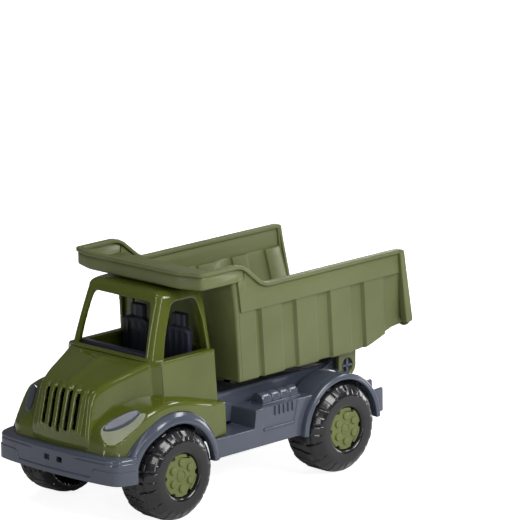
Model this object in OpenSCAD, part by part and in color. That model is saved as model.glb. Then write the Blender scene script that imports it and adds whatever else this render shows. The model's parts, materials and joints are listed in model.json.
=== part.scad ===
// Toy dump truck, moulded plastic.
// Lengths in millimetres. X runs to the truck's left, Y to its tail, Z up.
// Every sub-part is drawn from the front axle's line on the ground and is
// then shifted so that the origin is the middle of the footprint.

/* [Truck] */
// Distance between the front and the rear axle
wheelbase = 165; // [135:1:205]
// Front axle to the front face of the bumper
front_overhang = 58; // [50:1:70]
// Rear axle to the lowest tail corner of the bed
tail_overhang = 75; // [62:1:90]
// Width over the wheel flares
chassis_w = 132; // [120:1:160]
// Wall thickness of the mouldings
wall = 2.2; // [1.5:0.1:2.8]

/* [Wheels] */
// Radius of a tyre over its tread
tyre_r = 33; // [27:0.5:35]
// Width of a tyre
tyre_w = 26; // [20:0.5:28]
// Distance between the outer sidewalls
track_w = 140; // [132:1:168]
// Radius of the green hub cap
cap_r = 15.3; // [10:0.1:18]
// Radius of the steel axle rod
axle_r = 2; // [1.5:0.1:3]
// Radial running clearance of turning fits
running_gap = 0.06; // [0.02:0.01:0.1]

/* [Chassis] */
// Height of the underside of the chassis
chassis_z = 35; // [30:0.5:40]
// Height of the top of the front bumper and of the deck under the cab
bumper_z = 53; // [48:0.5:60]
// Height of the step behind the cab
step_z = 50; // [46:0.5:53]
// Height of the top of the side boxes
box_z = 62; // [54:0.5:66]
// Height of the spine under the bed
spine_z = 73; // [66:0.5:77]
// Half of the spine's width
spine_half = 36.6; // [28:0.1:37]
// Height of the rear bumper
rear_bumper_z = 52; // [46:0.5:56]
// Gap between the tyre and the inside of its arch
arch_gap = 2.6; // [2:0.1:5]
// Radial depth of the front flares
flare_d = 8.4; // [4:0.1:9]
// Radius of the ribbed side tanks
tank_r = 5.6; // [4:0.1:7]
// Number of segments in a side tank
tank_segments = 4; // [2:1:6]

/* [Cab] */
// Front axle to the rear wall of the cab
cab_back = 55.5; // [48:0.5:58]
// Height of the cab roof
roof_z = 156.5; // [140:0.5:158]
// Height of the window sills
sill_z = 109.5; // [104:0.5:116]
// Half of the cab's width at the door bottoms
door_half = 49; // [46:0.5:51]
// Half of the fenders' width
fender_half = 61; // [57:0.5:63]
// Number of grille slots
grille_slots = 5; // [3:2:7]
// Pitch of the grille slots
grille_pitch = 7.9; // [6:0.1:8.5]

/* [Bed] */
// Half of the bed's width over its rim
rim_half = 64.7; // [58:0.1:72]
// Height of the bed's side rim
rim_z = 153.1; // [140:0.1:156]
// Height of the canopy's rim over the cab
canopy_z = 170.4; // [166:0.1:185]
// Front axle to the front edge of the canopy, measured to the rear
canopy_y = 19.6; // [10:0.1:30]
// Height of the underside of the bed's floor
floor_z = 83.3; // [82:0.1:90]
// Height of the smooth band under the side rim
band_h = 16.3; // [10:0.1:22]
// Depth of the side corrugations
rib_d = 1.6; // [0.8:0.1:1.8]
// Number of raised panels on each side
rib_count = 4; // [3:1:5]
// Rear axle to the tipping pivot
pivot_back = 29; // [24:0.5:33]
// Height of the tipping pivot
pivot_z = 69.7; // [67:0.1:71]
// Radius of the pivot's bores
pivot_r = 5.6; // [4:0.1:6]
// Radius of the ears that hold the bores
ear_r = 9; // [7.5:0.1:9.2]

/* [Hidden] */
$fn = 72;

OLIVE = [0.30, 0.35, 0.12];
BED_OLIVE = [0.40, 0.43, 0.27];
SLATE = [0.33, 0.36, 0.42];
NAVY = [0.12, 0.13, 0.18];
BLACK = [0.10, 0.10, 0.11];
STEEL = [0.70, 0.71, 0.73];

seat_gap = 0.2;                 // between seated mouldings of one body
turn_gap = 1.2;                 // between a turning part and its carrier
big = 400;                      // longer than the truck
mid_y = (wheelbase + tail_overhang - front_overhang) / 2;
track_half = track_w / 2;
side_half = chassis_w / 2 - 5;  // outer face of the sills and side boxes
flare_half = chassis_w / 2;
arch_r = tyre_r + arch_gap;
pivot_y = wheelbase + pivot_back;

// ---- helpers -------------------------------------------------------------

function unit(v) = v / norm(v);
function left_of(v) = [-v[1], v[0]];
function flat(v) = [v[0], v[1]];
// A closed anticlockwise outline of [a, b, rounding] moved inwards by t
function inset(p, t) = [
  for (i = [0:len(p) - 1])
    let (a = flat(p[(i + len(p) - 1) % len(p)]), b = flat(p[i]), c = flat(p[(i + 1) % len(p)]),
         n1 = left_of(unit(b - a)), n2 = left_of(unit(c - b)),
         q = b + t * (n1 + n2) / (1 + n1 * n2))
      [q[0], q[1], max(p[i][2] - t / 2, 0)]
];
// A closed outline of [a, b, rounding] with its corners rounded by a curve
// that starts and ends that far from the corner
function soft(p, n = 4) = [
  for (i = [0:len(p) - 1])
    let (a = flat(p[(i + len(p) - 1) % len(p)]), b = flat(p[i]), c = flat(p[(i + 1) % len(p)]),
         d = min(p[i][2], 0.45 * norm(a - b), 0.45 * norm(c - b)),
         s = b + d * unit(a - b), e = b + d * unit(c - b))
      for (k = [0:(d > 0 ? n : 0)])
        let (u = d > 0 ? k / n : 0)
          (1 - u) * (1 - u) * s + 2 * u * (1 - u) * b + u * u * e
];
function reverse_of(p) = [for (i = [len(p) - 1:-1:0]) p[i]];
// Points of one side followed by their mirror images
function both_sides(p) = concat(p, [for (q = reverse_of(p)) [-q[0], q[1], q[2]]]);

module place() translate([0, -mid_y, 0]) children();
// An outline in Y and Z, extruded along X from x0 to x1
module along_x(x0, x1)
  translate([x0, 0, 0]) rotate([90, 0, 90]) linear_extrude(x1 - x0) children();
// An outline in X and Z, extruded along Y from y0 to y1
module along_y(y0, y1)
  translate([0, y1, 0]) rotate([90, 0, 0]) linear_extrude(y1 - y0) children();
// A profile of radius and X, turned about an axle; sweep starts at the rear
module about_axle(y, z, sweep = 360, start = 0)
  translate([0, y, z]) rotate([start, 0, 0]) rotate([90, 0, 90])
    rotate_extrude(angle = sweep) children();
module rod_x(r, x0, x1, y, z)
  translate([x0, y, z]) rotate([0, 90, 0]) cylinder(r = r, h = x1 - x0);
module block(x0, x1, y0, y1, z0, z1)
  translate([x0, y0, z0]) cube([x1 - x0, y1 - y0, z1 - z0]);
module mirrored() {
  children();
  mirror([1, 0, 0]) children();
}

// ---- wheels --------------------------------------------------------------

tyre_in = track_half - tyre_w;      // inner sidewall
web_x = track_half - 5.6;           // face that carries the hub cap
web_t = 3;
boss_r = axle_r + 3;
tyre_wall = 4;

// Black wheel moulding: rounded crown, dished outer side, hollow inner side
module tyre(y) color(BLACK) place() {
  crown = tyre_r - 1;
  about_axle(y, tyre_r) polygon([
    [axle_r + running_gap, spine_half + turn_gap],
    [boss_r, spine_half + turn_gap],
    [boss_r, web_x - web_t],
    [cap_r + 2, web_x - web_t],
    [tyre_r - tyre_wall - 3, tyre_in + 6],
    [tyre_r - tyre_wall - 4, tyre_in],
    [crown - 4, tyre_in],
    [crown - 1, tyre_in + 2],
    [tyre_r, tyre_in + 6.5],
    [tyre_r, track_half - 7],
    [crown - 1, track_half - 3],
    [crown - 5, track_half - 0.8],
    [crown - 11, track_half],
    [cap_r + 2.6, track_half - 0.4],
    [cap_r + 0.8, track_half - 2],
    [cap_r + seat_gap, web_x],
    [axle_r + running_gap, web_x]
  ]);
}

// Green hub cap: disc with six studs, a centre ring and six rim notches
cap_t = 3.2;
stud_r = 2.6;
stud_h = 1.3;
stud_circle = 9.3;
stud_count = 6;
ring_r = 3.6;
notch_r = 2;
module hub_cap(y) color(OLIVE) place() translate([web_x, y, tyre_r]) rotate([0, 90, 0]) {
  difference() {
    cylinder(r = cap_r, h = cap_t);
    for (k = [0:stud_count - 1])
      rotate(360 * (k + 0.5) / stud_count) translate([cap_r + 0.4, 0, -1])
        cylinder(r = notch_r, h = cap_t + 2);
  }
  for (k = [0:stud_count - 1])
    rotate(360 * k / stud_count) translate([stud_circle, 0, 0])
      cylinder(r = stud_r, h = cap_t + stud_h);
  cylinder(r = ring_r, h = cap_t + stud_h / 2);
}

// Steel rod that both wheels of an axle turn on
module axle(y) color(STEEL) place()
  rod_x(axle_r, -web_x + turn_gap, web_x - turn_gap, y, tyre_r);

// ---- chassis -------------------------------------------------------------

rear_deck_y = pivot_y + 10;               // rear face of the hinge block
hinge_z = pivot_z + 7.5;                  // top of the hinge block
bumper_back = wheelbase + 53.5;           // rear face of the rear bumper
bumper_half = flare_half - 6;
step_front = arch_r + 3;
box_front = cab_back + 24.5;
box_back = wheelbase - arch_r - 1.6;
lip_t = 4;
house_t = 2.2;
ear_in = spine_half + 2.2;                // inner face of the bed's ears
ear_out = ear_in + 3.7;
lobe_r = axle_r + 4.5;
cross_half = 0.9;                         // half thickness of the trunnion's cross
corner_in = 30;                           // inner side of the rear corner boxes
middle_half = 18;                         // half of the bumper's set-back middle
set_back = 3;
hinge_slot = [17, 3, 1];                  // half width, depth below and height over the pivot
bumper_hole = [3.5, 9, 43, 47];           // inner and outer side, low and high edge

bumper_bow = 2.6;                         // how far the bumper's face is bowed
bow_half = flare_half - 18;
bumper_corner = flare_half - 4;
bumper_plan = concat(
  [for (k = [-4:4]) [bow_half * k / 4, -front_overhang + bumper_bow * k * k / 16, 0]],
  [
    [bumper_corner, -front_overhang + 5.4, 4], [flare_half, -front_overhang + 16, 0],
    [-flare_half, -front_overhang + 16, 0], [-bumper_corner, -front_overhang + 5.4, 4]
  ]);
// Outline of the centre of the chassis seen from the side
spine_side = [
  [-front_overhang + 12, chassis_z, 0],
  [rear_deck_y, chassis_z, 0],
  [rear_deck_y, hinge_z, 0],
  [pivot_y - ear_r, hinge_z, 0],
  [pivot_y - ear_r - 5, spine_z, 0],
  [cab_back + 10.5, spine_z, 0],
  [cab_back + 4, bumper_z, 0],
  [-front_overhang + 12, bumper_z, 0]
];
tank_x = spine_half + 11.4;
tank_y = box_front + 18;
tank_step = 9;

// Centre tray and spine, open below, with a bearing lobe on each side of both axles
module centre_tray() {
  difference() {
    along_x(-spine_half, spine_half) polygon(soft(spine_side));
    along_x(-spine_half + wall, spine_half - wall)
      polygon([for (p = inset(spine_side, wall)) p[1] < chassis_z + 2 * wall ? [p[0], 0] : flat(p)]);
  }
  mirrored() for (y = [0, wheelbase]) along_x(spine_half - wall, spine_half) union() {
    translate([y, tyre_r]) circle(lobe_r);
    translate([y - lobe_r, tyre_r]) square([2 * lobe_r, chassis_z + 4 - tyre_r]);
  }
}
// Front bumper with its top ledge, cut away round the wheels
module front_bumper() difference() {
  translate([0, 0, chassis_z - 0.7]) linear_extrude(bumper_z - chassis_z + 0.7)
    polygon(soft(bumper_plan));
  linear_extrude(bumper_z - wall) polygon(soft(inset(bumper_plan, wall)));
  block(-flare_half + wall, flare_half - wall, -front_overhang + 12, 0, 0, bumper_z - wall);
  mirrored() rod_x(arch_r + 1, spine_half + 1, flare_half + 1, 0, tyre_r);
}
// Half ring over a front wheel, its face rounded off outwards
module front_flare() about_axle(0, tyre_r, 180) polygon([
  [arch_r, flare_half - 3], [arch_r, flare_half - 0.6], [arch_r + 1.4, flare_half],
  [arch_r + 5.5, flare_half - 1.2], [arch_r + flare_d, flare_half - 4.4],
  [arch_r + flare_d, flare_half - 7], [arch_r + flare_d - 2, flare_half - 7]
]);
// Step behind the cab, side box, both cut away round the wheels
module side_box() difference() {
  union() {
    block(spine_half - 1, side_half, step_front, box_front + wall, chassis_z, step_z);
    block(spine_half - 1, side_half, box_front, wheelbase - 12, chassis_z, box_z);
  }
  block(spine_half, side_half - wall, step_front + wall, box_front - 0.1, 0, step_z - wall);
  block(spine_half, side_half - wall, box_front + wall, box_back, 0, box_z - wall);
  rod_x(arch_r + 1.6, ear_out, flare_half + 1, wheelbase, tyre_r);
}
// Shell over a rear wheel, with the thicker lip at its outer edge
module wheel_house() about_axle(wheelbase, tyre_r, 180) polygon([
  [arch_r + 0.6, ear_out + 1], [arch_r + 0.6 + house_t, ear_out + 1],
  [arch_r + 0.6 + house_t, flare_half - lip_t], [arch_r + 3.7, flare_half - lip_t],
  [arch_r + 3.7, flare_half], [arch_r - 0.3, flare_half], [arch_r - 0.3, flare_half - lip_t],
  [arch_r + 0.6, flare_half - lip_t]
]);
// Round stub that the bed's ear turns on, with a cross-shaped end
module trunnion() {
  rod_x(pivot_r - running_gap, spine_half - 1, ear_in + 1.4, pivot_y, pivot_z);
  intersection() {
    rod_x(pivot_r - running_gap, spine_half - 0.5, ear_out - 0.5, pivot_y, pivot_z);
    union() {
      block(spine_half, ear_out, pivot_y - cross_half, pivot_y + cross_half,
        pivot_z - ear_r, pivot_z + ear_r);
      block(spine_half, ear_out, pivot_y - ear_r, pivot_y + ear_r,
        pivot_z - cross_half, pivot_z + cross_half);
    }
  }
}
module side_tank() {
  for (k = [0:tank_segments - 1])
    translate([tank_x, tank_y + k * tank_step, box_z - 1])
      rotate([-90, 0, 0]) cylinder(r = tank_r, h = tank_step - 0.8);
  translate([tank_x, tank_y + 1, box_z - 1])
    rotate([-90, 0, 0]) cylinder(r = tank_r - 0.8, h = tank_segments * tank_step - 3);
}
// Rear deck and bumper, open below, set back in the middle
module rear_bumper() difference() {
  union() {
    block(-bumper_half, bumper_half, rear_deck_y - 1, bumper_back - set_back,
      chassis_z - 1, rear_bumper_z);
    mirrored() block(middle_half, bumper_half, rear_deck_y + 2, bumper_back,
      chassis_z - 1, rear_bumper_z);
    mirrored() block(corner_in, bumper_half - 4, rear_deck_y - 4, rear_deck_y + 4,
      rear_bumper_z - wall, rear_bumper_z + 6.5);
  }
  block(-bumper_half + wall, bumper_half - wall, rear_deck_y + 1, bumper_back - set_back - wall,
    0, rear_bumper_z - wall);
}

module chassis() color(SLATE) place() difference() {
  union() {
    centre_tray();
    front_bumper();
    rear_bumper();
    mirrored() {
      front_flare();
      side_box();
      wheel_house();
      trunnion();
      side_tank();
    }
  }
  // axle bores
  for (y = [0, wheelbase])
    rod_x(axle_r, -spine_half - 1, spine_half + 1, y, tyre_r);
  // slot in the hinge block's rear face and two holes in the front bumper
  block(-hinge_slot[0], hinge_slot[0], rear_deck_y - wall - 1, rear_deck_y + 1,
    pivot_z - hinge_slot[1], pivot_z + hinge_slot[2]);
  mirrored() block(bumper_hole[0], bumper_hole[1], -front_overhang - 1, -front_overhang + wall + 1,
    bumper_hole[2], bumper_hole[3]);
}

// ---- cab -----------------------------------------------------------------

cab_front = front_overhang - 6;      // grille face ahead of the axle
arch_cut = arch_r + flare_d + seat_gap;
fender_in = spine_half + 4;          // inner side of the fenders' tails

// House and hood seen from the side, from the bumper round to the rear wall
cab_side = [
  [-cab_front + 2, bumper_z, 0],
  [cab_back, bumper_z, 0],
  [cab_back, sill_z, 0],
  [cab_back - 5, roof_z, 6],
  [14, roof_z - 0.5, 7],
  [-1, sill_z + 2.5, 0],
  [-4, sill_z - 1, 3],
  [-36, sill_z - 12, 9],
  [-cab_front + 7.5, sill_z - 18.5, 4],
  [-cab_front, bumper_z + 9, 3]
];
// Lower half of the house seen from the front and from above
waist_half = door_half - 2;
cowl_half = door_half - 8.5;
body_front = both_sides([[door_half, bumper_z, 0], [door_half, 74, 0], [waist_half, sill_z, 0]]);
body_plan = both_sides([
  [cowl_half, -8, 0], [cowl_half, -3, 4], [waist_half, 4, 5], [door_half, cab_back + 1, 0]
]);
// Glazed half of the house seen from the front and from above
glass_half = door_half - 5;
eaves_half = door_half - 9;
glass_front = both_sides([
  [glass_half, sill_z - 8, 0], [glass_half, sill_z, 0], [eaves_half, roof_z - 3, 6],
  [eaves_half - 12, roof_z + 0.5, 6]
]);
glass_plan = both_sides([
  [cowl_half - 6, -8, 0], [cowl_half - 4, 0, 6], [cowl_half + 1.2, 9, 6], [glass_half, cab_back - 8, 0],
  [glass_half, cab_back + 1, 0]
]);
// Hood seen from above
hood_plan = both_sides([
  [26, -cab_front - 1, 3],
  [28, -40, 0],
  [cowl_half, -4, 0],
  [door_half - 4, 3, 4],
  [door_half - 4, 12, 0]
]);
// Fenders seen from the side
fender_back = cab_back + 1.8;
fender_side = [
  [-cab_front + 1.5, bumper_z, 0],
  [30, bumper_z, 0],
  [30, step_z + seat_gap, 0],
  [fender_back, step_z + seat_gap, 0],
  [fender_back, 72.5, 3],
  [24, 83, 10],
  [-4, 88, 12],
  [-32, 80, 12],
  [-cab_front + 4, 67, 6]
];
// Fenders seen from above
fender_plan = both_sides([
  [38, -cab_front - 1.5, 8],
  [fender_half - 10, -cab_front + 4, 10],
  [fender_half, -26, 12],
  [fender_half, 14, 14],
  [door_half + 6.5, fender_back, 3]
]);

module body(t) intersection() {
  along_x(-big / 2, big / 2) polygon(soft(inset(cab_side, t)));
  along_y(-8, big / 2) polygon(soft(inset(body_front, t)));
  linear_extrude(sill_z) polygon(soft(inset(body_plan, t)));
}
module glasshouse(t) intersection() {
  along_x(-big / 2, big / 2) polygon(soft(inset(cab_side, t)));
  along_y(-8, big / 2) polygon(soft(inset(glass_front, t)));
  linear_extrude(big) polygon(soft(inset(glass_plan, t)));
}
module hood(t) intersection() {
  along_x(-big / 2, big / 2) polygon(soft(inset(cab_side, t)));
  linear_extrude(sill_z) polygon(soft(inset(hood_plan, t)));
}
module fenders(t) difference() {
  intersection() {
    along_x(-big / 2, big / 2) polygon(soft(inset(fender_side, t)));
    linear_extrude(sill_z) polygon(soft(inset(fender_plan, t)));
  }
  block(-fender_in - t, fender_in + t, cab_back - t, cab_back + 20, 0, sill_z);
}

wind_low = 33;       // half of the windscreen's width at the cowl
wind_high = 27.5;    // and at the roof
module windows() {
  // windscreen
  along_y(-20, 26) polygon([
    [-wind_low, sill_z + 3.3], [wind_low, sill_z + 3.3],
    [wind_high, roof_z - 8.5], [-wind_high, roof_z - 8.5]
  ]);
  // side windows
  along_x(-big / 2, big / 2) polygon(soft([
    [8.5, sill_z, 1], [cab_back - 5, sill_z, 1],
    [cab_back - 13.5, roof_z - 8.5, 5], [20.5, roof_z - 8.5, 4]
  ]));
  // rear window
  along_y(cab_back - 12, cab_back + 2) polygon(soft([
    [-34, sill_z, 3], [34, sill_z, 3], [29, roof_z - 8, 3], [-29, roof_z - 8, 3]
  ]));
}

slot_half = 1.8;
grille_top = sill_z - 20;
grille_low = grille_top - 26.8;      // lower end of the middle slot
grille_rise = 0.25;                  // the slots further out end higher
module grille() for (k = [0:grille_slots - 1]) {
  x = (k - (grille_slots - 1) / 2) * grille_pitch;
  low = grille_low + grille_rise * abs(x);
  translate([x, 0, 0]) along_y(-cab_front - 8, -cab_front + 14) union() {
    translate([-slot_half, low + slot_half]) square([2 * slot_half, grille_top - low - 2 * slot_half]);
    translate([0, low + slot_half]) circle(slot_half);
    translate([0, grille_top - slot_half]) circle(slot_half);
  }
}

// Headlight: a leaf-shaped lens, drawn along its own axis from its front tip
lamp_tip = [37.5, -cab_front + 6.7, 69.4];
lamp_along = unit([16.5, 20.3, 12.6]);
lamp_across = unit(cross([0.52, -0.66, 0.38], lamp_along));
lamp_out = cross(lamp_along, lamp_across);
lamp_l = 29;
cab_room = door_half - wall;
lamp_t = 3.4;
module lamp_shape(grow, deep, proud)
  multmatrix([for (k = [0:2]) [lamp_along[k], lamp_across[k], lamp_out[k], lamp_tip[k]]])
    translate([0, 0, -deep]) linear_extrude(deep + proud) polygon(soft(inset([
      [0, 0, 1], [10, -4.8, 5], [22, -4.2, 5], [lamp_l, 0, 1], [20, 4.8, 6], [8, 3.6, 4]
    ], -grow)));

module cab_shell() color(OLIVE) place() difference() {
  union() {
    body(0);
    glasshouse(0);
    hood(0);
    fenders(0);
  }
  body(wall);
  glasshouse(wall);
  hood(wall);
  fenders(wall);
  // open underside between the walls
  block(-cab_room, cab_room, -cab_front + 4 + wall, cab_back - wall, 0, bumper_z + wall + 0.1);
  windows();
  grille();
  mirrored() lamp_shape(seat_gap, 5, 6);
  mirrored() rod_x(arch_cut, 37, big / 2, 0, tyre_r);
  // room for the chassis's spine
  block(-spine_half - seat_gap, spine_half + seat_gap, 0, cab_back + 20, 0, bumper_z);
}
module headlight_left() color(SLATE) place() lamp_shape(0, lamp_t, 0.6);
module headlight_right() color(SLATE) place() mirror([1, 0, 0]) lamp_shape(0, lamp_t, 0.6);

module cab_interior() color(NAVY) place() {
  in_half = cowl_half - 5;
  block(-in_half, in_half, -8, cab_back - wall - 0.6, bumper_z, bumper_z + 2);
  along_x(-in_half, in_half) polygon([
    [-5, bumper_z], [1, bumper_z], [7, sill_z - 14], [15, sill_z - 7], [15, sill_z - 3],
    [3.6, sill_z + 0.4], [1.8, sill_z - 3]
  ]);
}

seat_x = 24.4;
seat_half = 12.3;
seat_deep = 17;
seat_t = 6;                          // thickness of the backrest
cushion_z = 84;
shoulder_z = 124;
head_half = 8.4;
head_z = 133;
// Side outline of the backrest or headrest between two heights, bevelled at the top
function backrest(y, low, high) = [
  [y, low], [y + seat_t, low], [y + seat_t, high - 3], [y + seat_t - 1, high],
  [y + 2, high], [y + 1, high - 3]
];
module seat() {
  y0 = cab_back - 13.8;
  block(-seat_half, seat_half, y0 - seat_deep, y0 + seat_t, bumper_z + 2, cushion_z);
  along_x(-seat_half, seat_half) polygon(backrest(y0, cushion_z - 4, shoulder_z));
  along_x(-head_half, head_half) polygon(backrest(y0, shoulder_z - 4, head_z));
}
module seat_left() color(NAVY) place() translate([seat_x, 0, 0]) seat();
module seat_right() color(NAVY) place() translate([-seat_x, 0, 0]) seat();

// ---- dump bed ------------------------------------------------------------

lean = 0.17;                         // forward lean of walls and ribs, per height
band_z = rim_z - band_h;             // lower edge of the smooth band
function leaning(y, z) = y + lean * (band_z - z);
front_y = cab_back + 7;              // front wall at the band's height
kick_y = wheelbase + 35;             // where the floor starts to rise
tail_z = floor_z + 13.5;
tail_y = wheelbase + tail_overhang - lean * (band_z - tail_z);
tail_low = leaning(tail_y, tail_z);
tail_high = leaning(tail_y, rim_z);
slope_y = cab_back + 11;             // where the rim starts to come down
dip_y = cab_back + 32.5;             // where it has come down
rim_t = 2.6;
rim_out = 3;                         // how far the rim stands out
flange_w = 5;                        // width of the flange round the tail
low_half = rim_half - 11.5;          // half width at the floor
high_half = rim_half - 5.3;          // half width of the panels at the band
band_low = rim_half - 4.1;           // half width of the band, low and high
band_high = rim_half - rim_out;
canopy_h = 10.5;
canopy_low = canopy_z - canopy_h;
rib_front = cab_back + 31.5;         // front edge of the first raised panel
rib_back = 20.7;                     // rear edge of the last raised panel to the tail
rib_share = 0.6;                     // raised part of each pitch
rib_pitch = (tail_y - rib_back - rib_front) / (rib_count - 1 + rib_share);
rib_w = rib_share * rib_pitch;
end_wall = 12;                       // smooth wall between the last hollow and the tail
wall_foot = floor_z - 4;             // the side walls are drawn from below the floor
ridge_foot = floor_z + wall + 2.5;   // inner ridges stand upright up to here, for a flat load

// Bed seen from the side
bed_side = [
  [leaning(front_y, floor_z), floor_z, 3],
  [kick_y, floor_z, 6],
  [tail_low - flange_w, tail_z, 2],
  [tail_low, tail_z, 0],
  [tail_high, rim_z, 0],
  [dip_y, rim_z, 8],
  [slope_y, canopy_z, 8],
  [slope_y - 12, canopy_z, 0],
  [slope_y - 12, canopy_low, 0],
  [leaning(front_y, canopy_low), canopy_low, 0]
];
// The space inside, seen from the side: open above and at the tail
bed_room = [
  [leaning(front_y, floor_z) + wall, floor_z + wall, 3],
  [kick_y, floor_z + wall, 6],
  [tail_low - flange_w, tail_z + wall, 2],
  [tail_low + 9, tail_z + wall, 0],
  [tail_low + 9, canopy_z + 9, 0],
  [canopy_y, canopy_z + 9, 0],
  [canopy_y, canopy_low + wall, 0],
  [leaning(front_y, canopy_low) + wall, canopy_low + wall, 2]
];
// Half widths of the tub at the floor, the band and the rim, moved in by d
function tub_section(d, top) = [
  [low_half - d, wall_foot], [high_half - d, band_z], [band_low - d, band_z],
  [band_high - d, top], [-band_high + d, top], [-band_low + d, band_z],
  [-high_half + d, band_z], [-low_half + d, wall_foot]
];
// Outline of the lower wall only, for the corrugation
function panel_section(d0, d1) = [
  [low_half - d1, wall_foot], [low_half - d0, wall_foot],
  [high_half - d0, band_z], [high_half - d1, band_z]
];
// Canopy seen from above, moved in by t
function canopy_plan(t) = both_sides([
  [rim_half - 19 - 0.2 * t, canopy_y + t, 5],
  [rim_half - t, canopy_y + 6.6 + 0.7 * t, 3],
  [rim_half - t, slope_y - 2, 0]
]);

// Leaning strip from y0 to y1 up to the band, its front side upright below foot
module strip(y0, y1, foot) along_x(-big / 2, big / 2) polygon([
  [leaning(y0, foot), wall_foot], [leaning(y1, wall_foot), wall_foot],
  [leaning(y1, band_z), band_z], [leaning(y0, band_z), band_z], [leaning(y0, foot), foot]
]);
// Stretches of side wall between the raised panels
module hollows(grow, d0, d1, foot) mirrored() for (k = [0:rib_count]) {
  y0 = k == 0 ? front_y - 5 : rib_front + (k - 1) * rib_pitch + rib_w;
  y1 = k == rib_count ? tail_y - end_wall : rib_front + k * rib_pitch;
  intersection() {
    strip(y0 - grow, y1 + grow, foot);
    along_y(0, big) polygon(panel_section(d0, d1));
  }
}
// Rim along the top of the side, h high, in one outline
function rim_strip(h) = [
  [tail_high + h / 6, rim_z - h, 0], [tail_high, rim_z, 0], [dip_y, rim_z, 8],
  [slope_y, canopy_z, 8], [slope_y - 9, canopy_z, 0],
  [slope_y - 9, canopy_z - h, 0], [slope_y - 0.5, canopy_z - h, 8],
  [dip_y - 0.5, rim_z - h, 8]
];

// Tub with its corrugated sides
module tub() difference() {
  intersection() {
    along_x(-big / 2, big / 2) polygon(soft(bed_side));
    along_y(canopy_y, tail_low + 1) polygon(tub_section(0, canopy_z + 1));
  }
  hollows(0, rib_d, -5, wall_foot + 1);
}
module canopy() {
  translate([0, 0, canopy_low]) linear_extrude(canopy_h) polygon(soft(canopy_plan(rim_out)));
  translate([0, 0, canopy_z - rim_t]) linear_extrude(rim_t) polygon(soft(canopy_plan(0)));
}
// Flange round the open tail
module tail_flange() intersection() {
  along_x(-big / 2, big / 2) polygon([
    [tail_low - flange_w, tail_z - 2.5], [tail_low, tail_z - 2.5],
    [tail_high, rim_z], [tail_high - flange_w, rim_z]
  ]);
  along_y(tail_high - 8, tail_low + 1) polygon([
    [rim_half - 5, tail_z - 3], [rim_half, rim_z], [-rim_half, rim_z], [5 - rim_half, tail_z - 3]
  ]);
}
module load_room() difference() {
  intersection() {
    along_x(-big / 2, big / 2) polygon(soft(bed_room));
    union() {
      along_y(leaning(front_y, canopy_z), tail_low + 9) polygon(tub_section(wall, canopy_z + 10));
      translate([0, 0, floor_z]) linear_extrude(canopy_z)
        polygon(soft(canopy_plan(rim_out + wall)));
    }
  }
  hollows(1, rib_d + wall, -5, ridge_foot);
}
module ear() along_x(ear_in, ear_out) {
  translate([pivot_y, pivot_z]) circle(ear_r);
  translate([pivot_y - ear_r, pivot_z]) square([2 * ear_r, floor_z + wall - pivot_z]);
}

module dump_bed() color(BED_OLIVE) place() difference() {
  union() {
    difference() {
      union() {
        tub();
        canopy();
        tail_flange();
        along_x(-rim_half, rim_half) polygon(soft(rim_strip(rim_t)));
      }
      load_room();
    }
    mirrored() ear();
  }
  rod_x(pivot_r, -ear_out - 1, ear_out + 1, pivot_y, pivot_z);
}

// ---- assembly ------------------------------------------------------------

chassis();
axle(0);  // front_axle
axle(wheelbase);  // rear_axle
cab_shell();
cab_interior();
seat_left();
seat_right();
headlight_left();
headlight_right();
dump_bed();
tyre(0);  // tyre_front_left
mirror([1, 0, 0]) tyre(0);  // tyre_front_right
tyre(wheelbase);  // tyre_rear_left
mirror([1, 0, 0]) tyre(wheelbase);  // tyre_rear_right
hub_cap(0);  // hub_cap_front_left
mirror([1, 0, 0]) hub_cap(0);  // hub_cap_front_right
hub_cap(wheelbase);  // hub_cap_rear_left
mirror([1, 0, 0]) hub_cap(wheelbase);  // hub_cap_rear_right
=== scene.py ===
# %% [markdown]
# # Toy dump truck
# A moulded-plastic tipper: a hooded cab, a blue-grey chassis, four black wheels with
# green caps, and a ribbed bed that tips about a trunnion behind the rear axle.
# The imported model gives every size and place; this script gives the looks. Almost every
# piece is a thin moulding, so most shapes are a surface worked out by a formula on a
# grid of two parameters, which then gets the thickness of the wall.

# %% Load the frame
import json
import math

import bpy
import numpy as np
from mathutils import Matrix, Vector


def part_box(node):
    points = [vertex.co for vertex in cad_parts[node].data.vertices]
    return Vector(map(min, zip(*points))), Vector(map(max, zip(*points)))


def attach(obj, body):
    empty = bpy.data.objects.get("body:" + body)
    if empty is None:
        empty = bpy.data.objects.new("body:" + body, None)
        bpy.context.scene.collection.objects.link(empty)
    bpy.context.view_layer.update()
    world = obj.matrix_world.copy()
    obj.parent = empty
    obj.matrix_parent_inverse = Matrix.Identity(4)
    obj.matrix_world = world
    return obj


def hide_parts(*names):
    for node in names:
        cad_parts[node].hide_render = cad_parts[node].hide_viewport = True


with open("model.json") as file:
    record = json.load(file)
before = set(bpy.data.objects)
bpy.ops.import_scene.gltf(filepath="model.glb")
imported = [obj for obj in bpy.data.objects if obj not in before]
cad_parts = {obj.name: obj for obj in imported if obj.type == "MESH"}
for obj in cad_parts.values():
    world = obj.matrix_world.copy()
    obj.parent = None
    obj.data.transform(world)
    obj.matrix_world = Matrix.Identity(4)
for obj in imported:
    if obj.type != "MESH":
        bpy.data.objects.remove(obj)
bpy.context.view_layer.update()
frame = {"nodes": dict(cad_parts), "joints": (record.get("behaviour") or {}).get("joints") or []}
nodes = frame["nodes"]

# %% [markdown]
# ## One set of coordinates for the workshop
# A toy maker would dimension this truck in millimetres from its front axle: X to the
# truck's left, Y to its tail, Z up from the ground. The shapes below use exactly that,
# and one function carries them into the frame, whose origin is the middle of the
# footprint. The axle's place and the wheel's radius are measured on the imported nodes.

# %% Measure the frame
MM = 0.001


def node_box(name):
    """Lowest and highest corner of a CAD node in millimetres, as numpy arrays."""
    low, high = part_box(name)
    return np.array(low) / MM, np.array(high) / MM


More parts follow.
